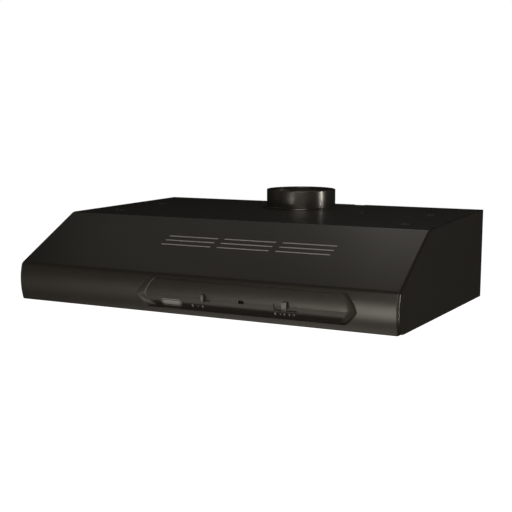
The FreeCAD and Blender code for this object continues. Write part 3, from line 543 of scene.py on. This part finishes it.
def tube(name, path, radius, segments=8):
    """A round bar along a polyline."""
    count = len(path)
    points, faces = [], []
    side = None
    for k, point in enumerate(path):
        here = Vector(point)
        before, after = Vector(path[max(0, k - 1)]), Vector(path[min(count - 1, k + 1)])
        along = (after - before).normalized()
        if side is None:
            side = along.cross(Vector((0.3, 0.2, 0.93))).normalized()
        side = (side - along * side.dot(along)).normalized()
        up = along.cross(side)
        for step in range(segments):
            t = math.tau * step / segments
            points.append(tuple(here + (side * math.cos(t) + up * math.sin(t)) * radius))
    for k in range(count - 1):
        a, b = k * segments, (k + 1) * segments
        for step in range(segments):
            following = (step + 1) % segments
            faces.append((a + step, a + following, b + following, b + step))
    last = (count - 1) * segments
    faces += [tuple(reversed(range(segments))), tuple(range(last, last + segments))]
    return make_object(name, points, faces)


# ---------------------------------------------------------------- sizes in millimetres
# Y and Z limits come from the CAD nodes; folds and spacings repeat the sizes of the CAD.

def box_mm(node):
    """A CAD node's lowest and highest corners at rest, in millimetres."""
    low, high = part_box(node)
    return [value / MM for value in low], [value / MM for value in high]


top_low, top_high = box_mm("top_panel")
HALF_WIDTH = top_high[0]
REAR = top_high[1]
TOP_FRONT = top_low[1]
BOW = 6.0
FRONT = box_mm("front_skin")[0][1] + BOW
FOLD = 83.0
LOWER_FRONT = 154.0
LOWER_REAR = -box_mm("rear_panel")[0][2]
SLOPE = math.atan2(FOLD, TOP_FRONT - FRONT)
TILT = math.atan2(LOWER_REAR - LOWER_FRONT, REAR - FRONT)
SHEET = 1.0
ROLL = 5.0
LIP = 16.0
BOW_RADIUS = ((LOWER_FRONT - FOLD) ** 2 / 4 + BOW ** 2) / (2 * BOW)
BOW_MIDDLE = (FOLD + LOWER_FRONT) / 2
FAN_X, LIGHT_X = 179.0, 22.0
CABLE_HOLE = (171.0, 76.0)
CABINET_SCREWS = [(x, y) for x in (-312.0, 312.0) for y in (-85.0, 85.0)]
NOTCH_START, NOTCH_END = 92.0, 116.0


def bow_front(z):
    """Y of the bowed face at a level."""
    rise = math.sqrt(BOW_RADIUS ** 2 - (-z - BOW_MIDDLE) ** 2) - (BOW_RADIUS - BOW)
    return FRONT - rise


def under(along, up):
    """A point of the underside frame, as Y and Z."""
    return (FRONT + along * math.cos(TILT) + up * math.sin(TILT),
            -LOWER_FRONT - along * math.sin(TILT) + up * math.cos(TILT))


def under_place(x, along, up):
    """A point of the underside frame, as X, Y and Z."""
    return (x, *under(along, up))


# ---------------------------------------------------------------- shell

def skin_line():
    """The outer face from the top fold to the lower lip, as Y and Z."""
    start = (TOP_FRONT + 8.0, 0.0)
    top_fold = (TOP_FRONT, 0.0)
    arc = []
    steps = 40
    for step in range(steps + 1):
        z = -FOLD - (LOWER_FRONT - FOLD) * step / steps
        arc.append((bow_front(z), z))
    points = [start, top_fold] + arc + [under(LIP, 0.0)]
    reach = [0.0, 2.0] + [0.0] * len(arc) + [0.0]
    line = rounded_corners(points, reach, 6, closed=False)
    return soften(line, (FRONT, -FOLD), 5.0, (FRONT, -LOWER_FRONT), 2.2)


def soften(line, *folds):
    """Rounds named corners of a polyline whose neighbours are short."""
    for corner, reach in zip(folds[::2], folds[1::2]):
        corner = Vector(corner)
        index = min(range(len(line)), key=lambda k: (Vector(line[k]) - corner).length)
        before = walk(line, index, -1, reach)
        after = walk(line, index, 1, reach)
        bend, steps = [], 8
        for step in range(steps + 1):
            t = step / steps
            point = before[1] * (1 - t) ** 2 + corner * 2 * t * (1 - t) + after[1] * t ** 2
            bend.append(tuple(point))
        line = line[:before[0] + 1] + bend + line[after[0]:]
    return line


def walk(line, index, step, reach):
    """The place a given length away from a point of a polyline, and the next point beyond it."""
    left = reach
    while True:
        here, following = Vector(line[index]), Vector(line[index + step])
        length = (following - here).length
        if length > left:
            return index + step, here + (following - here) * left / length
        left -= length
        index += step


def line_normals(line):
    """Unit normals that point into the hood from the outer face."""
    normals = []
    for k in range(len(line)):
        before = Vector(line[max(0, k - 1)])
        after = Vector(line[min(len(line) - 1, k + 1)])
        along = (after - before).normalized()
        normals.append(Vector((-along.y, along.x)))
    return normals


def swept_sheet(name, line, columns):
    """A sheet swept along X; each column is (x, inset) outside and (x, inset) inside."""
    normals = line_normals(line)
    rows = len(line)
    points, faces = [], []
    for (x_out, in_out), (x_in, in_in) in columns:
        for k, point in enumerate(line):
            moved = Vector(point) + normals[k] * in_out
            points.append((x_out, moved.x, moved.y))
        for k, point in enumerate(line):
            moved = Vector(point) + normals[k] * in_in
            points.append((x_in, moved.x, moved.y))
    ring = 2 * rows
    for c in range(len(columns) - 1):
        a, b = c * ring, (c + 1) * ring
        for k in range(rows - 1):
            faces.append((a + k, a + k + 1, b + k + 1, b + k))
            faces.append((a + rows + k, b + rows + k, b + rows + k + 1, a + rows + k + 1))
        faces.append((a, b, b + rows, a + rows))
        faces.append((a + rows - 1, a + ring - 1, b + ring - 1, b + rows - 1))
    for c, flip in ((0, False), (len(columns) - 1, True)):
        a = c * ring
        for k in range(rows - 1):
            face = (a + k, a + rows + k, a + rows + k + 1, a + k + 1)
            faces.append(tuple(reversed(face)) if flip else face)
    return make_object(name, points, faces, 40.0)


def roll_columns():
    """Columns across the width, with the sheet rolled back at both ends."""
    half, inner, steps = HALF_WIDTH, ROLL - SHEET, 12
    roll = []
    for step in range(steps + 1):
        t = math.radians(90 * step / steps)
        outside = (half - ROLL + ROLL * math.sin(t), ROLL - ROLL * math.cos(t))
        inside = (half - ROLL + inner * math.sin(t), ROLL - inner * math.cos(t))
        roll.append((outside, inside))
    left = [((-a[0], a[1]), (-b[0], b[1])) for a, b in reversed(roll)]
    middle = [((x, 0.0), (x, SHEET)) for x in (-250.0, -125.0, 0.0, 125.0, 250.0)]
    return left + middle + roll


def slope_place(across, along, out):
    """A point of the slope frame: along is measured down the slope, out away from the sheet."""
    return (across,
            TOP_FRONT - along * math.cos(SLOPE) - out * math.sin(SLOPE),
            -along * math.sin(SLOPE) + out * math.cos(SLOPE))


SLOT_ROWS = (64.6, 78.4, 92.2)
SLOT_WIDTH = 3.6
SLOT_LENGTH = 105.5
SLOT_START, SLOT_PITCH, ROW_SHIFT = -110.4, 118.1, -1.7


def slot_outlines(shrink=0.0):
    """The nine vent slots, as outlines in the slope frame."""
    outlines = []
    for row, along in enumerate(SLOT_ROWS):
        for group in range(3):
            start = SLOT_START + group * SLOT_PITCH + row * ROW_SHIFT
            end = start + SLOT_LENGTH
            outlines.append(capsule(start + shrink, end - shrink, along, SLOT_WIDTH - 2 * shrink))
    return outlines


FASCIA_X = 99.2
TIP, FLAT = 210.3, 190.0
LENS_TOP, LENS_TIP, LENS_BOTTOM = -89.5, -120.6, -143.2
UPPER_SWELL, LOWER_SWELL = 14.3, 8.1
RIDGE, RIDGE_SOFTNESS = -122.0, 1.4


def lens_half_width(z):
    """Half the control opening's width at a level."""
    if z >= LENS_TIP:
        t, swell = (z - LENS_TIP) / (LENS_TOP - LENS_TIP), UPPER_SWELL
    else:
        t, swell = (LENS_TIP - z) / (LENS_TIP - LENS_BOTTOM), LOWER_SWELL
    return TIP + (FLAT - TIP) * t + swell * t * (1 - t)


def lens_limits(u):
    """The opening's upper and lower levels at a distance from its middle."""
    limits = []
    for far in (LENS_TOP, LENS_BOTTOM):
        near = LENS_TIP
        if u <= FLAT:
            limits.append(far)
            continue
        for _ in range(40):
            middle = (near + far) / 2
            if lens_half_width(middle) > u:
                near = middle
            else:
                far = middle
        limits.append((near + far) / 2)
    return limits


def lens_outline(grow=0.0):
    """The control opening's counter-clockwise outline in X and Z."""
    steps = 16
    lower = [LENS_BOTTOM + (LENS_TIP - LENS_BOTTOM) * k / steps for k in range(steps)]
    upper = [LENS_TIP + (LENS_TOP - LENS_TIP) * k / steps for k in range(steps + 1)]
    right = [(FASCIA_X + lens_half_width(z), z) for z in lower + upper]
    left = [(FASCIA_X - lens_half_width(z), z) for z in reversed(lower + upper)]
    return inset_outline(right + left, -grow)


def facing_front(a, b, level):
    """Placement for outlines drawn in X and Z and swept along Y."""
    return (a, level, b)


def make_front_skin():
    """The folded front with its slots and opening, and the pale insert behind the slots, whose ribs
    fill the slots as painted highlight lines.
    """
    skin = swept_sheet("front_skin_sheet", skin_line(), roll_columns())
    cutters = [extruded("slot_cutter", outline, slope_place, -4.0, 3.0)
               for outline in slot_outlines()]
    cutters.append(extruded("opening_cutter", lens_outline(0.3), facing_front,
                            FRONT - 20, FRONT + 12))
    carve(skin, cutters, 40.0)
    finish_piece(skin, "front_skin")

    # the pale ribs sit just under the face in every slot: painted highlight lines where the slot
    # edges catch the light
    plate = extruded("plate", box_outline((-125, 246), (52, 106)), slope_place, -2.4, -1.3)
    ribs = [extruded("rib", outline, slope_place, -1.4, -0.2, 0.2)
            for outline in slot_outlines(0.15)]
    finish_piece(merge("vent_painted_highlight_insert", [plate] + ribs), "vent_blanking_plate", slot="mark_ink")


def make_side_panel(name, side):
    """A flat plate inside the rolled edge of the front skin, with its flanges."""
    line = skin_line()
    normals = line_normals(line)
    edge = [Vector(point) + normals[k] * ROLL for k, point in enumerate(line)]
    outline = [(REAR, -1.0), (TOP_FRONT + 6.0, -1.0)]
    outline += [tuple(point) for point in edge if point.x < TOP_FRONT + 7.0 and point.y <= -1.0]
    outline += [under(LIP, 0.0), (REAR, -LOWER_REAR)]
    x_out, x_in = side * HALF_WIDTH, side * (HALF_WIDTH - SHEET)

    def place(a, b, level):
        return (x_in + (x_out - x_in) * level, a, b)

    plate = extruded(f"{name}_plate", clean_outline(outline), place, 0.0, 1.0)
    flange = [(13.0, 0.0), (1.5, 0.0), (0.4, 0.4), (0.0, 1.5), (1.0, 1.7), (1.5, 1.0), (13.0, 1.0)]
    flange = [(HALF_WIDTH - inset, b) for inset, b in flange]
    length = math.hypot(REAR - FRONT, LOWER_REAR - LOWER_FRONT)
    foot_strip = extruded(f"{name}_foot", flange,
                          lambda a, b, level: under_place(side * a, level, b), 17.0, length - 1.2)
    edge = box_outline((HALF_WIDTH - 13.0, HALF_WIDTH - 1.0), (-2.0, -1.1))
    upper = extruded(f"{name}_upper", edge, lambda a, b, level: (side * a, level, b),
                     TOP_FRONT + 15.0, REAR - 1.5)
    finish_piece(merge(name + "_sheet", [plate, foot_strip, upper]), name)


def clean_outline(points, gap=0.05):
    """Drops repeated points."""
    result = []
    for point in points:
        if not result or (Vector(point) - Vector(result[-1])).length > gap:
            result.append(point)
    return result


def dish_floor(z):
    """Y of the dished face: two slightly crowned facets that meet at a soft ridge."""
    top, crest, bottom = FRONT + 6.0, FRONT - 0.5, FRONT + 9.0

    def facet(level):
        if level > RIDGE:
            t = (level - RIDGE) / (LENS_TOP - RIDGE)
            return crest + (top - crest) * t - 4.4 * t * (1 - t)
        t = (RIDGE - level) / (RIDGE - LENS_BOTTOM)
        return crest + (bottom - crest) * t - 3.0 * t * (1 - t)

    if abs(z - RIDGE) >= RIDGE_SOFTNESS:
        return facet(z)
    t = (z - RIDGE + RIDGE_SOFTNESS) / (2 * RIDGE_SOFTNESS)
    below, above = facet(RIDGE - RIDGE_SOFTNESS), facet(RIDGE + RIDGE_SOFTNESS)
    return below * (1 - t) ** 2 + (crest - 0.35) * 2 * t * (1 - t) + above * t ** 2


def ease(t):
    """A smooth step from 0 to 1."""
    t = min(1.0, max(0.0, t))
    return t * t * (3 - 2 * t)


def fascia_face(x, z):
    """Y of the moulding's face; x is measured from its middle."""
    u, wall = abs(x), 1.6
    end_slope, power = (20.0, 1.7) if x > 0 else (12.0, 1.0)
    upper, lower = lens_limits(min(u, TIP - 1e-4))
    bow = bow_front(z) + 0.1
    rise = min(1.0, max(0.0, (lens_half_width(z) - u) / end_slope))
    from_end = 1 - (1 - rise) ** power
    from_wall = ease(min(upper - z, z - lower) / wall)
    return bow + (dish_floor(z) - bow) * from_end * from_wall


def make_control_fascia():
    """A moulding whose dished face has a ridge, two facets and sloped ends."""
    rows, thickness, end_step = 84, 1.4, 0.8
    columns = [0, 20, 60, 100, 140, 158] + [166 + end_step * k for k in range(56)]
    columns = [u for u in columns if u < TIP - 0.2] + [TIP - 0.05]
    offsets = [-u for u in reversed(columns)] + columns[1:]
    front, back = [], []
    for x in offsets:
        upper, lower = lens_limits(abs(x))
        for row in range(rows + 1):
            t = row / rows
            z = lower + (upper - lower) * (t - 0.75 * math.sin(math.tau * t) / math.tau)
            y = fascia_face(x, z)
            front.append((FASCIA_X + x, y, z))
            back.append((FASCIA_X + x, y + thickness, z))
    high, total = rows + 1, len(front)
    last = len(offsets) - 1
    faces = []
    for c in range(last):
        for row in range(rows):
            a = c * high + row
            face = (a, a + high, a + high + 1, a + 1)
            faces.append(face)
            faces.append(tuple(total + k for k in reversed(face)))
        for row in (0, rows):
            a = c * high + row
            face = (a, total + a, total + a + high, a + high)
            faces.append(face if row == 0 else tuple(reversed(face)))
    for c in (0, last):
        for row in range(rows):
            a = c * high + row
            face = (a, a + 1, total + a + 1, total + a)
            faces.append(face if c == 0 else tuple(reversed(face)))
    face = make_object("fascia_face", front + back, faces, 50.0)

    def hole(name, x, z):
        return extruded(name, rounded_corners(box_outline(x, z), [1.0] * 4, 4), facing_front,
                        FRONT - 8.0, FRONT + 20.0)

    cutters = [
        hole("fan_cutter", (FAN_X - 21.4, FAN_X + 21.4), (-131.0, -118.5)),
        hole("light_cutter", (18.0, 35.0), (-126.0, -117.5)),
        hole("lens_cutter", (90.0, 101.0), (-125.0, -118.5)),
    ]
    carve(face, cutters, 50.0)
    finish_piece(face, "control_fascia")


make_front_skin()
make_side_panel("side_panel_right", 1)
make_side_panel("side_panel_left", -1)
make_control_fascia()


# ---------------------------------------------------------------- collar

def make_duct_collar():
    """A drawn collar: rolled rim, straight wall, flared foot and a side seam."""
    low, high = box_mm("duct_collar")
    centre_y = (low[1] + high[1]) / 2
    top = high[2]
    outer, wall, bead = 75.0, 1.0, 1.9
    outside = [(outer + 3.8, 0.05), (outer + 3.6, 0.7), (outer + 1.0, 1.1), (outer, 2.2),
               (outer, top - bead)]
    rim, steps = [], 14
    for step in range(1, steps + 1):
        t = math.radians(265) * step / steps
        rim.append((outer - bead + bead * math.cos(t), top - bead + bead * math.sin(t)))
    inside = [(outer - wall, top - 2 * bead - 0.6), (outer - wall, -1.9)]
    flange = [(90.0, -1.9), (90.0, -1.05), (outer + 1.5, -1.05)]
    collar = lathe("collar_shell", outside + rim + inside + flange,
                   lambda x, y, level: (x, centre_y + y, level), 128, 40.0)
    seam = extruded("seam", box_outline((-2.2, 2.2), (-1.0, 0.25)),
                    lambda a, b, level: (a, centre_y + outer + b - 0.2, level), 1.6, top - 1.6, 0.2)
    finish_piece(merge("duct_collar_drawn", [collar, seam], 40.0), "duct_collar")


make_duct_collar()


# ---------------------------------------------------------------- top panel

def make_top_panel():
    """The flat top: duct opening, fixing holes in stamped rings, cable hole and rear notch."""
    near, notch_depth = TOP_FRONT + 8.05, 8.0
    outline = [(-HALF_WIDTH, near), (HALF_WIDTH, near), (HALF_WIDTH, REAR), (NOTCH_END, REAR),
               (NOTCH_END, REAR - notch_depth), (NOTCH_START, REAR - notch_depth),
               (NOTCH_START, REAR), (-HALF_WIDTH, REAR)]

    def flat(a, b, level):
        return (a, b, level)

    def turned(name, profile, centre):
        return lathe(name, profile, lambda x, y, level: (centre[0] + x, centre[1] + y, level), 48)

    sheet = extruded("top_sheet", outline, flat, -SHEET, 0.0, 0.3)
    holes = [(77.9, (0.0, 157.0)), (11.0, CABLE_HOLE)] + [(3.0, screw) for screw in CABINET_SCREWS]
    cutters = [extruded("hole_cutter", circle(radius, centre), flat, -3.0, 3.0)
               for radius, centre in holes]
    carve(sheet, cutters, 40.0)
    bead = [(9.0, -0.4), (9.4, 0.15), (10.4, 0.5), (11.6, 0.5), (12.6, 0.15), (13.0, -0.4)]
    lip = [(10.6, -1.4), (10.6, 0.3), (11.2, 0.7), (12.0, 0.5), (12.4, -0.3)]
    turnings = [turned("bead", bead, screw) for screw in CABINET_SCREWS]
    turnings.append(turned("cable_lip", lip, CABLE_HOLE))
    finish_piece(merge("top_panel_sheet", [sheet] + turnings, 40.0), "top_panel")


def make_rear_panel():
    """The back plate: stamped cross ribs, two wall holes, the cable notch and its turned foot."""
    wall, top, notch_bottom = HALF_WIDTH - SHEET, -1.05, -4.0
    outline = [(-wall, -LOWER_REAR), (wall, -LOWER_REAR), (wall, top), (NOTCH_END, top),
               (NOTCH_END, notch_bottom), (NOTCH_START, notch_bottom), (NOTCH_START, top),
               (-wall, top)]

    def upright(a, b, level):
        return (a, REAR - level, b)

    plate = extruded("rear_sheet", outline, upright, 0.05, 1.0, 0.2)
    cutters = [extruded("hole_cutter", circle(3.5, (x, -LOWER_REAR / 2), 32), upright, -2.0, 4.0)
               for x in (-150.0, 150.0)]
    ribs = []
    for start, end in ((-345.0, -285.0), (-215.0, -15.0), (15.0, 215.0), (285.0, 345.0)):
        for level in (-55.0, -131.0):
            ribs.append(extruded("rib", capsule(start, end, level, 9.0, 8), upright, 0.9, 2.6, 1.2))
            groove = capsule(start + 1, end - 1, level, 7.0, 8)
            cutters.append(extruded("groove_cutter", groove, upright, -2.0, 0.6))
    carve(plate, cutters, 40.0)
    foot = box_outline((REAR - 12.0, REAR - 0.9), (-LOWER_REAR + 1.05, -LOWER_REAR + 2.0))
    strip = extruded("foot", foot, lambda a, b, level: (level, a, b), -wall + 13.0, wall - 13.0)
    finish_piece(merge("rear_panel_sheet", [plate, strip] + ribs, 40.0), "rear_panel")


# ---------------------------------------------------------------- controls on the dished face

def ring(name, outer, inner, place, low, high, bevel=0.0):
    """A closed band between two outlines with the same number of points."""
    count = len(outer)
    loops = [(outer, low), (outer, high - bevel)]
    if bevel:
        loops += [(inset_outline(outer, bevel), high), (inset_outline(inner, -bevel), high)]
    loops += [(inner, high - bevel), (inner, low)]
    points = [place(a, b, level) for loop, level in loops for a, b in loop]
    faces = []
    for k in range(len(loops)):
        here, following = k * count, (k + 1) % len(loops) * count
        for j in range(count):
            after = (j + 1) % count
            faces.append((here + j, here + after, following + after, following + j))
    return make_object(name, points, faces)


def facet_frame(centre_x, middle, half):
    """Placement on the flat of a facet, level with the chord between two heights."""
    top = Vector((dish_floor(middle + half), middle + half))
    bottom = Vector((dish_floor(middle - half), middle - half))
    centre, up = (top + bottom) / 2, (top - bottom).normalized()
    out = Vector((-up.y, up.x))
    if out.x > 0:
        out.negate()

    def place(a, b, level):
        point = centre + up * b + out * level
        return (centre_x + a, point.x, point.y)

    return place


def make_knob(node, half, stem_half, stem):
    """A slider's grip: a ribbed front that leans back below, rounded sides, and its stem."""
    low, high = box_mm(node)
    centre = (low[0] + high[0]) / 2
    front, back, top, bottom = low[1], FRONT - 0.9, high[2], low[2]
    crest = bottom + (top - bottom) * 0.30
    ribs, outline = 4, [(back, bottom), (back, top), (front + 1.4, top), (front + 0.5, top - 0.35)]
    step = (top - 1.0 - crest) / ribs
    for k in range(ribs):
        start = top - 1.0 - step * k
        outline += [(front, start), (front, start - 0.62 * step),
                    (front + 0.5, start - 0.74 * step), (front + 0.5, start - 0.92 * step)]
    outline += [(front, crest), (front + 2.6, bottom + 0.7), (front + 3.2, bottom)]
    grip = extruded("grip", outline, lambda a, b, level: (level, a, b),
                    centre - half, centre + half, 0.3)
    arm = rounded_block("arm", (centre - stem_half, back - 0.4, stem[0]),
                        (centre + stem_half, high[1], stem[1]), 0.3)
    finish_piece(merge(node + "_grip", [grip, arm]), node)


def make_shutter(name, node, centre, span, facets, pitch=0.0):
    """A dust strip that rides behind the face and fills its slider's window."""
    pieces = []
    for middle, half in facets:
        place = facet_frame(0.0, middle, half)
        outline = box_outline(span, (-half - 0.2, half + 0.2))
        pieces.append(extruded("strip", outline, place, -2.6, -1.9))
        count = int((span[1] - span[0] - 3.0) / pitch) if pitch else 0
        for k in range(count):
            x = span[0] + 2.0 + pitch * k
            if abs(x - centre) > 3.5:
                outline = box_outline((x - 0.7, x + 0.7), (-half, half))
                pieces.append(extruded("rib", outline, place, -2.0, -1.55, 0.1))
    finish_piece(merge(name, pieces), node, slot="black_plastic")


def make_badge():
    """A blank pill-shaped plate: raised rim, a dark ring of painted shade where the groove lies,
    plain field.
    """
    place = facet_frame(-45.3, -133.6, 6.4)

    def pill(reach, width):
        return capsule(-reach, reach, 0.0, width, 14)

    plate = extruded("plate", pill(20.8, 14.4), place, 0.1, 1.2, 0.35)
    field = extruded("field", pill(17.9, 8.6), place, 1.1, 1.5, 0.2)
    finish_piece(merge("badge_blank", [plate, field]), "badge_plate")
    # the dark ring is painted shade for the groove between rim and field
    groove = ring("badge_painted_shade_ring", pill(19.6, 12.0), pill(17.8, 8.4), place, 1.0, 1.26)
    finish_piece(groove, "badge_plate", slot="black_plastic")


BARS_OF = {"0": "abcdef", "1": "bc", "2": "abged", "3": "abgcd", "4": "fgbc"}
NUMERAL_LEVEL, SHADE_ARC_LEVEL = -137.0, -111.0


def make_digit(digit, centre_x):
    """A plain seven-bar numeral printed on the facet."""
    half_width, half_height, stroke = 0.95, 1.8, 0.36
    across = (-half_width, half_width)
    left, right = [(x - stroke, x + stroke) for x in across]
    upper, lower = (0.0, half_height), (-half_height, 0.0)
    bars = {
        "a": (across, (half_height - stroke, half_height + stroke)),
        "g": (across, (-stroke, stroke)),
        "d": (across, (-half_height - stroke, -half_height + stroke)),
        "f": (left, upper), "b": (right, upper), "e": (left, lower), "c": (right, lower),
    }
    place = facet_frame(centre_x, NUMERAL_LEVEL, 1.6)
    return [extruded("bar", box_outline(*bars[key]), place, -0.1, 0.12) for key in BARS_OF[digit]]


def make_scale():
    """Numerals below the two sliders, and a plain dark arc above each, which is painted shadow
    above the knob.
    """
    bars = []
    for digit, x in zip("01234", (158.1, 166.8, 175.5, 184.2, 192.9)):
        bars += make_digit(digit, x)
    for digit, x in zip("012", (-3.2, 7.1, 17.4)):
        bars += make_digit(digit, x)
    finish_piece(merge("scale_numerals", bars), "scale_marks")
    # the dark arcs above the sliders are painted shadow above each knob
    shade_arcs = []
    for centre_x, reach in ((FAN_X, 4.6), (LIGHT_X, 3.0)):
        turns = [math.radians(-58 + 116 * k / 12) for k in range(13)]
        foot, inside = 1.6 - reach, reach - 0.9
        outer = [(reach * math.sin(t), reach * math.cos(t) + foot) for t in reversed(turns)]
        inner = [(inside * math.sin(t), inside * math.cos(t) + foot) for t in turns]
        place = facet_frame(centre_x, SHADE_ARC_LEVEL, 1.5)
        shade_arcs.append(extruded("arc", outer + inner, place, -0.1, 0.15))
    finish_piece(merge("painted_shade_arcs", shade_arcs), "scale_marks", slot="black_plastic")


def make_indicator():
    """A dark lens with rounded edges in a thin pale bezel."""
    low, high = box_mm("indicator_lens")
    lens = rounded_block("indicator_dome", (low[0] - 0.3, low[1] + 0.9, low[2] + 0.05),
                         (high[0] + 0.3, high[1], high[2] - 0.05), 0.6, 4)
    finish_piece(lens, "indicator_lens")

    def place(a, b, level):
        return (a, dish_floor(b) - level, b)

    a, b = (low[0], high[0]), (low[2], high[2])
    corners = box_outline((a[0] - 1.0, a[1] + 1.0), (b[0] - 0.5, b[1] + 0.5))
    outer = rounded_corners(corners, [1.4] * 4, 5)
    inner = rounded_corners(box_outline((a[0] - 0.4, a[1] + 0.4), b), [0.9] * 4, 5)
    bezel = ring("indicator_bezel", outer, inner, place, -0.3, 0.45, 0.15)
    finish_piece(bezel, "indicator_lens", slot="knob_plastic")


# ---------------------------------------------------------------- underside pieces

def to_under(piece):
    """Moves a piece made in underside coordinates to its place."""
    for vertex in piece.data.vertices:
        x, along, up = (value / MM for value in vertex.co)
        vertex.co = Vector(under_place(x, along, up)) * MM
    piece.data.update()
    return piece


def under_block(low, high, radius, segments=3):
    return to_under(rounded_block("block", low, high, radius, segments))


FILTER_SPAN, FILTER_NEAR, FILTER_FAR = (27.0, 311.0), 176.0, 412.0
CELL_PITCH, CELL_LENGTH, STRAND = 6.0, 12.0, 1.0
LATCH_X = 169.0
SPRING_FRONT, SPRING_LENGTH, SPRING_LEVEL = 164.3, 7.4, 12.3
LAMP_X, LAMP_Y = (193.0, 297.0), (48.0, 112.0)
PANE_X, PANE_Y = (201.2, 288.8), (56.2, 103.8)


def make_strands(side, level, shift):
    """One layer of expanded metal: wavy strands that meet their neighbours in diamonds."""
    low, high = FILTER_SPAN
    points, faces = [], []
    rows = int((FILTER_FAR - FILTER_NEAR) / CELL_PITCH)
    count = int((high - low) / (CELL_LENGTH / 2))
    half = STRAND / 2
    section = ((-half, -0.5), (half, -0.15), (half, 0.5), (-half, 0.15))
    for row in range(rows + 1):
        first = len(points)
        for k in range(count + 1):
            x = low + (high - low) * k / count
            bend = 1 if (row + k + shift) % 2 else -1
            along = FILTER_NEAR + CELL_PITCH * row + bend * (CELL_PITCH / 2 - STRAND / 3)
            along = min(FILTER_FAR - 0.7, max(FILTER_NEAR + 0.7, along))
            depth = 1.6 if bend > 0 else 0.8
            points += [under_place(side * x, along + a, level + b * depth) for a, b in section]
        for k in range(count):
            a = first + 4 * k
            for j in range(4):
                after = (j + 1) % 4
                faces.append((a + j, a + after, a + 4 + after, a + 4 + j))
    return make_object("strands", points, faces, 20.0)


def make_filter(name, side):
    """The expanded-metal pack, finger latch and latch spring of one grease filter."""
    strands = [make_strands(side, level, shift) for level, shift in ((10.3, 0), (13.0, 1))]
    finish_piece(merge(name + "_mesh_strands", strands, 20.0), name + "_mesh")

    middle = side * LATCH_X

    def block(half, centre, near, far, low, high, radius):
        return under_block((middle + centre - half, near, low), (middle + centre + half, far, high),
                           radius)

    finger = [block(20, 0, 153, 164, 10.3, 14.3, 0.8), block(9, 0, 149.4, 154.0, 10.6, 13.8, 0.9),
              block(14, 0, 156.2, 158.8, 3.5, 11.0, 1.0)]
    finger += [block(0.7, 4.0 * k, 155.9, 156.6, 4.6, 9.6, 0.3) for k in range(-3, 4)]
    finish_piece(merge(name + "_latch_finger", finger), name + "_latch")

    turns, steps, back = 4, 16, SPRING_FRONT + SPRING_LENGTH
    coil = []
    for k in range(turns * steps + 1):
        t = math.tau * k / steps
        along = back - SPRING_LENGTH * k / (turns * steps)
        coil.append(under_place(middle + 1.5 * math.cos(t), along,
                                SPRING_LEVEL + 1.5 * math.sin(t)))
    spring = tube(name + "_latch_coil", coil, 0.28, 6)
    finish_piece(spring, name + "_latch_spring")
    anchor = Vector(under_place(middle, back, SPRING_LEVEL))
    forward = anchor - Vector(under_place(middle, SPRING_FRONT, SPRING_LEVEL))
    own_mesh(spring)


def make_lamp(name, side):
    """A lamp's hinged bezel, its prismatic pane and its bulb."""
    def place(a, b, level):
        return under_place(side * a, b, level)

    outer = rounded_corners(box_outline(LAMP_X, LAMP_Y), [4.0] * 4, 6)
    inner = rounded_corners(box_outline((201.0, 289.0), (56.0, 104.0)), [2.0] * 4, 6)
    bezel = ring("bezel", outer, inner, lambda a, b, level: place(a, b, 17.0 - level),
                 0.0, 4.5, 0.9)
    pegs = [extruded("peg", circle(1.2, (110.0, 14.4), 20),
                     lambda a, b, level: place(level, a, b), start, start + 7.0)
            for start in (186.5, 296.5)]
    finish_piece(merge(name + "_bezel", [bezel] + pegs), name + "_cover")

    low, high = PANE_X
    prisms, base, face = 22, 16.2, 14.2
    width, outline = (high - low) / prisms, []
    for k in range(prisms):
        start = low + (high - low) * k / prisms
        for share, level in ((0.0, face), (0.25, 13.5), (0.5, 13.25), (0.75, 13.5)):
            outline.append((start + width * share, level))
    outline += [(high, face), (high, base), (low, base)]
    pane = extruded(name + "_prisms", outline, lambda a, b, level: place(a, level, b), *PANE_Y)
    finish_piece(pane, name + "_glass")

    profile = [(0.02, 225.0), (8.9, 225.0), (9.0, 229.0), (10.6, 232.0), (13.6, 236.0),
               (16.2, 241.0), (17.0, 246.0), (16.2, 251.0), (13.4, 256.4), (9.4, 260.0),
               (5.0, 261.6), (0.02, 262.0)]
    bulb = lathe(name + "_globe", profile,
                 lambda x, y, level: place(level, 80.0 + x, 40.0 + y), 40)
    finish_piece(bulb, name + "_bulb")


make_top_panel()
make_rear_panel()
make_knob("fan_knob", 4.8, 2.0, (-127.5, -122.5))
make_knob("light_knob", 2.3, 2.0, (-124.0, -120.0))
make_shutter("fan_shutter", "fan_knob", FAN_X, (139.0, 219.0),
             ((-126.8, 4.6), (-119.9, 2.2)), 3.4)
make_shutter("light_shutter", "light_knob", LIGHT_X, (8.0, 36.5),
             ((-124.2, 2.2), (-119.5, 2.4)))
make_badge()
make_scale()
make_indicator()
for side_name, side in (("right", 1), ("left", -1)):
    make_filter("filter_" + side_name, side)
for side_name, side in (("right", 1), ("left", -1)):
    make_lamp("lamp_" + side_name, side)
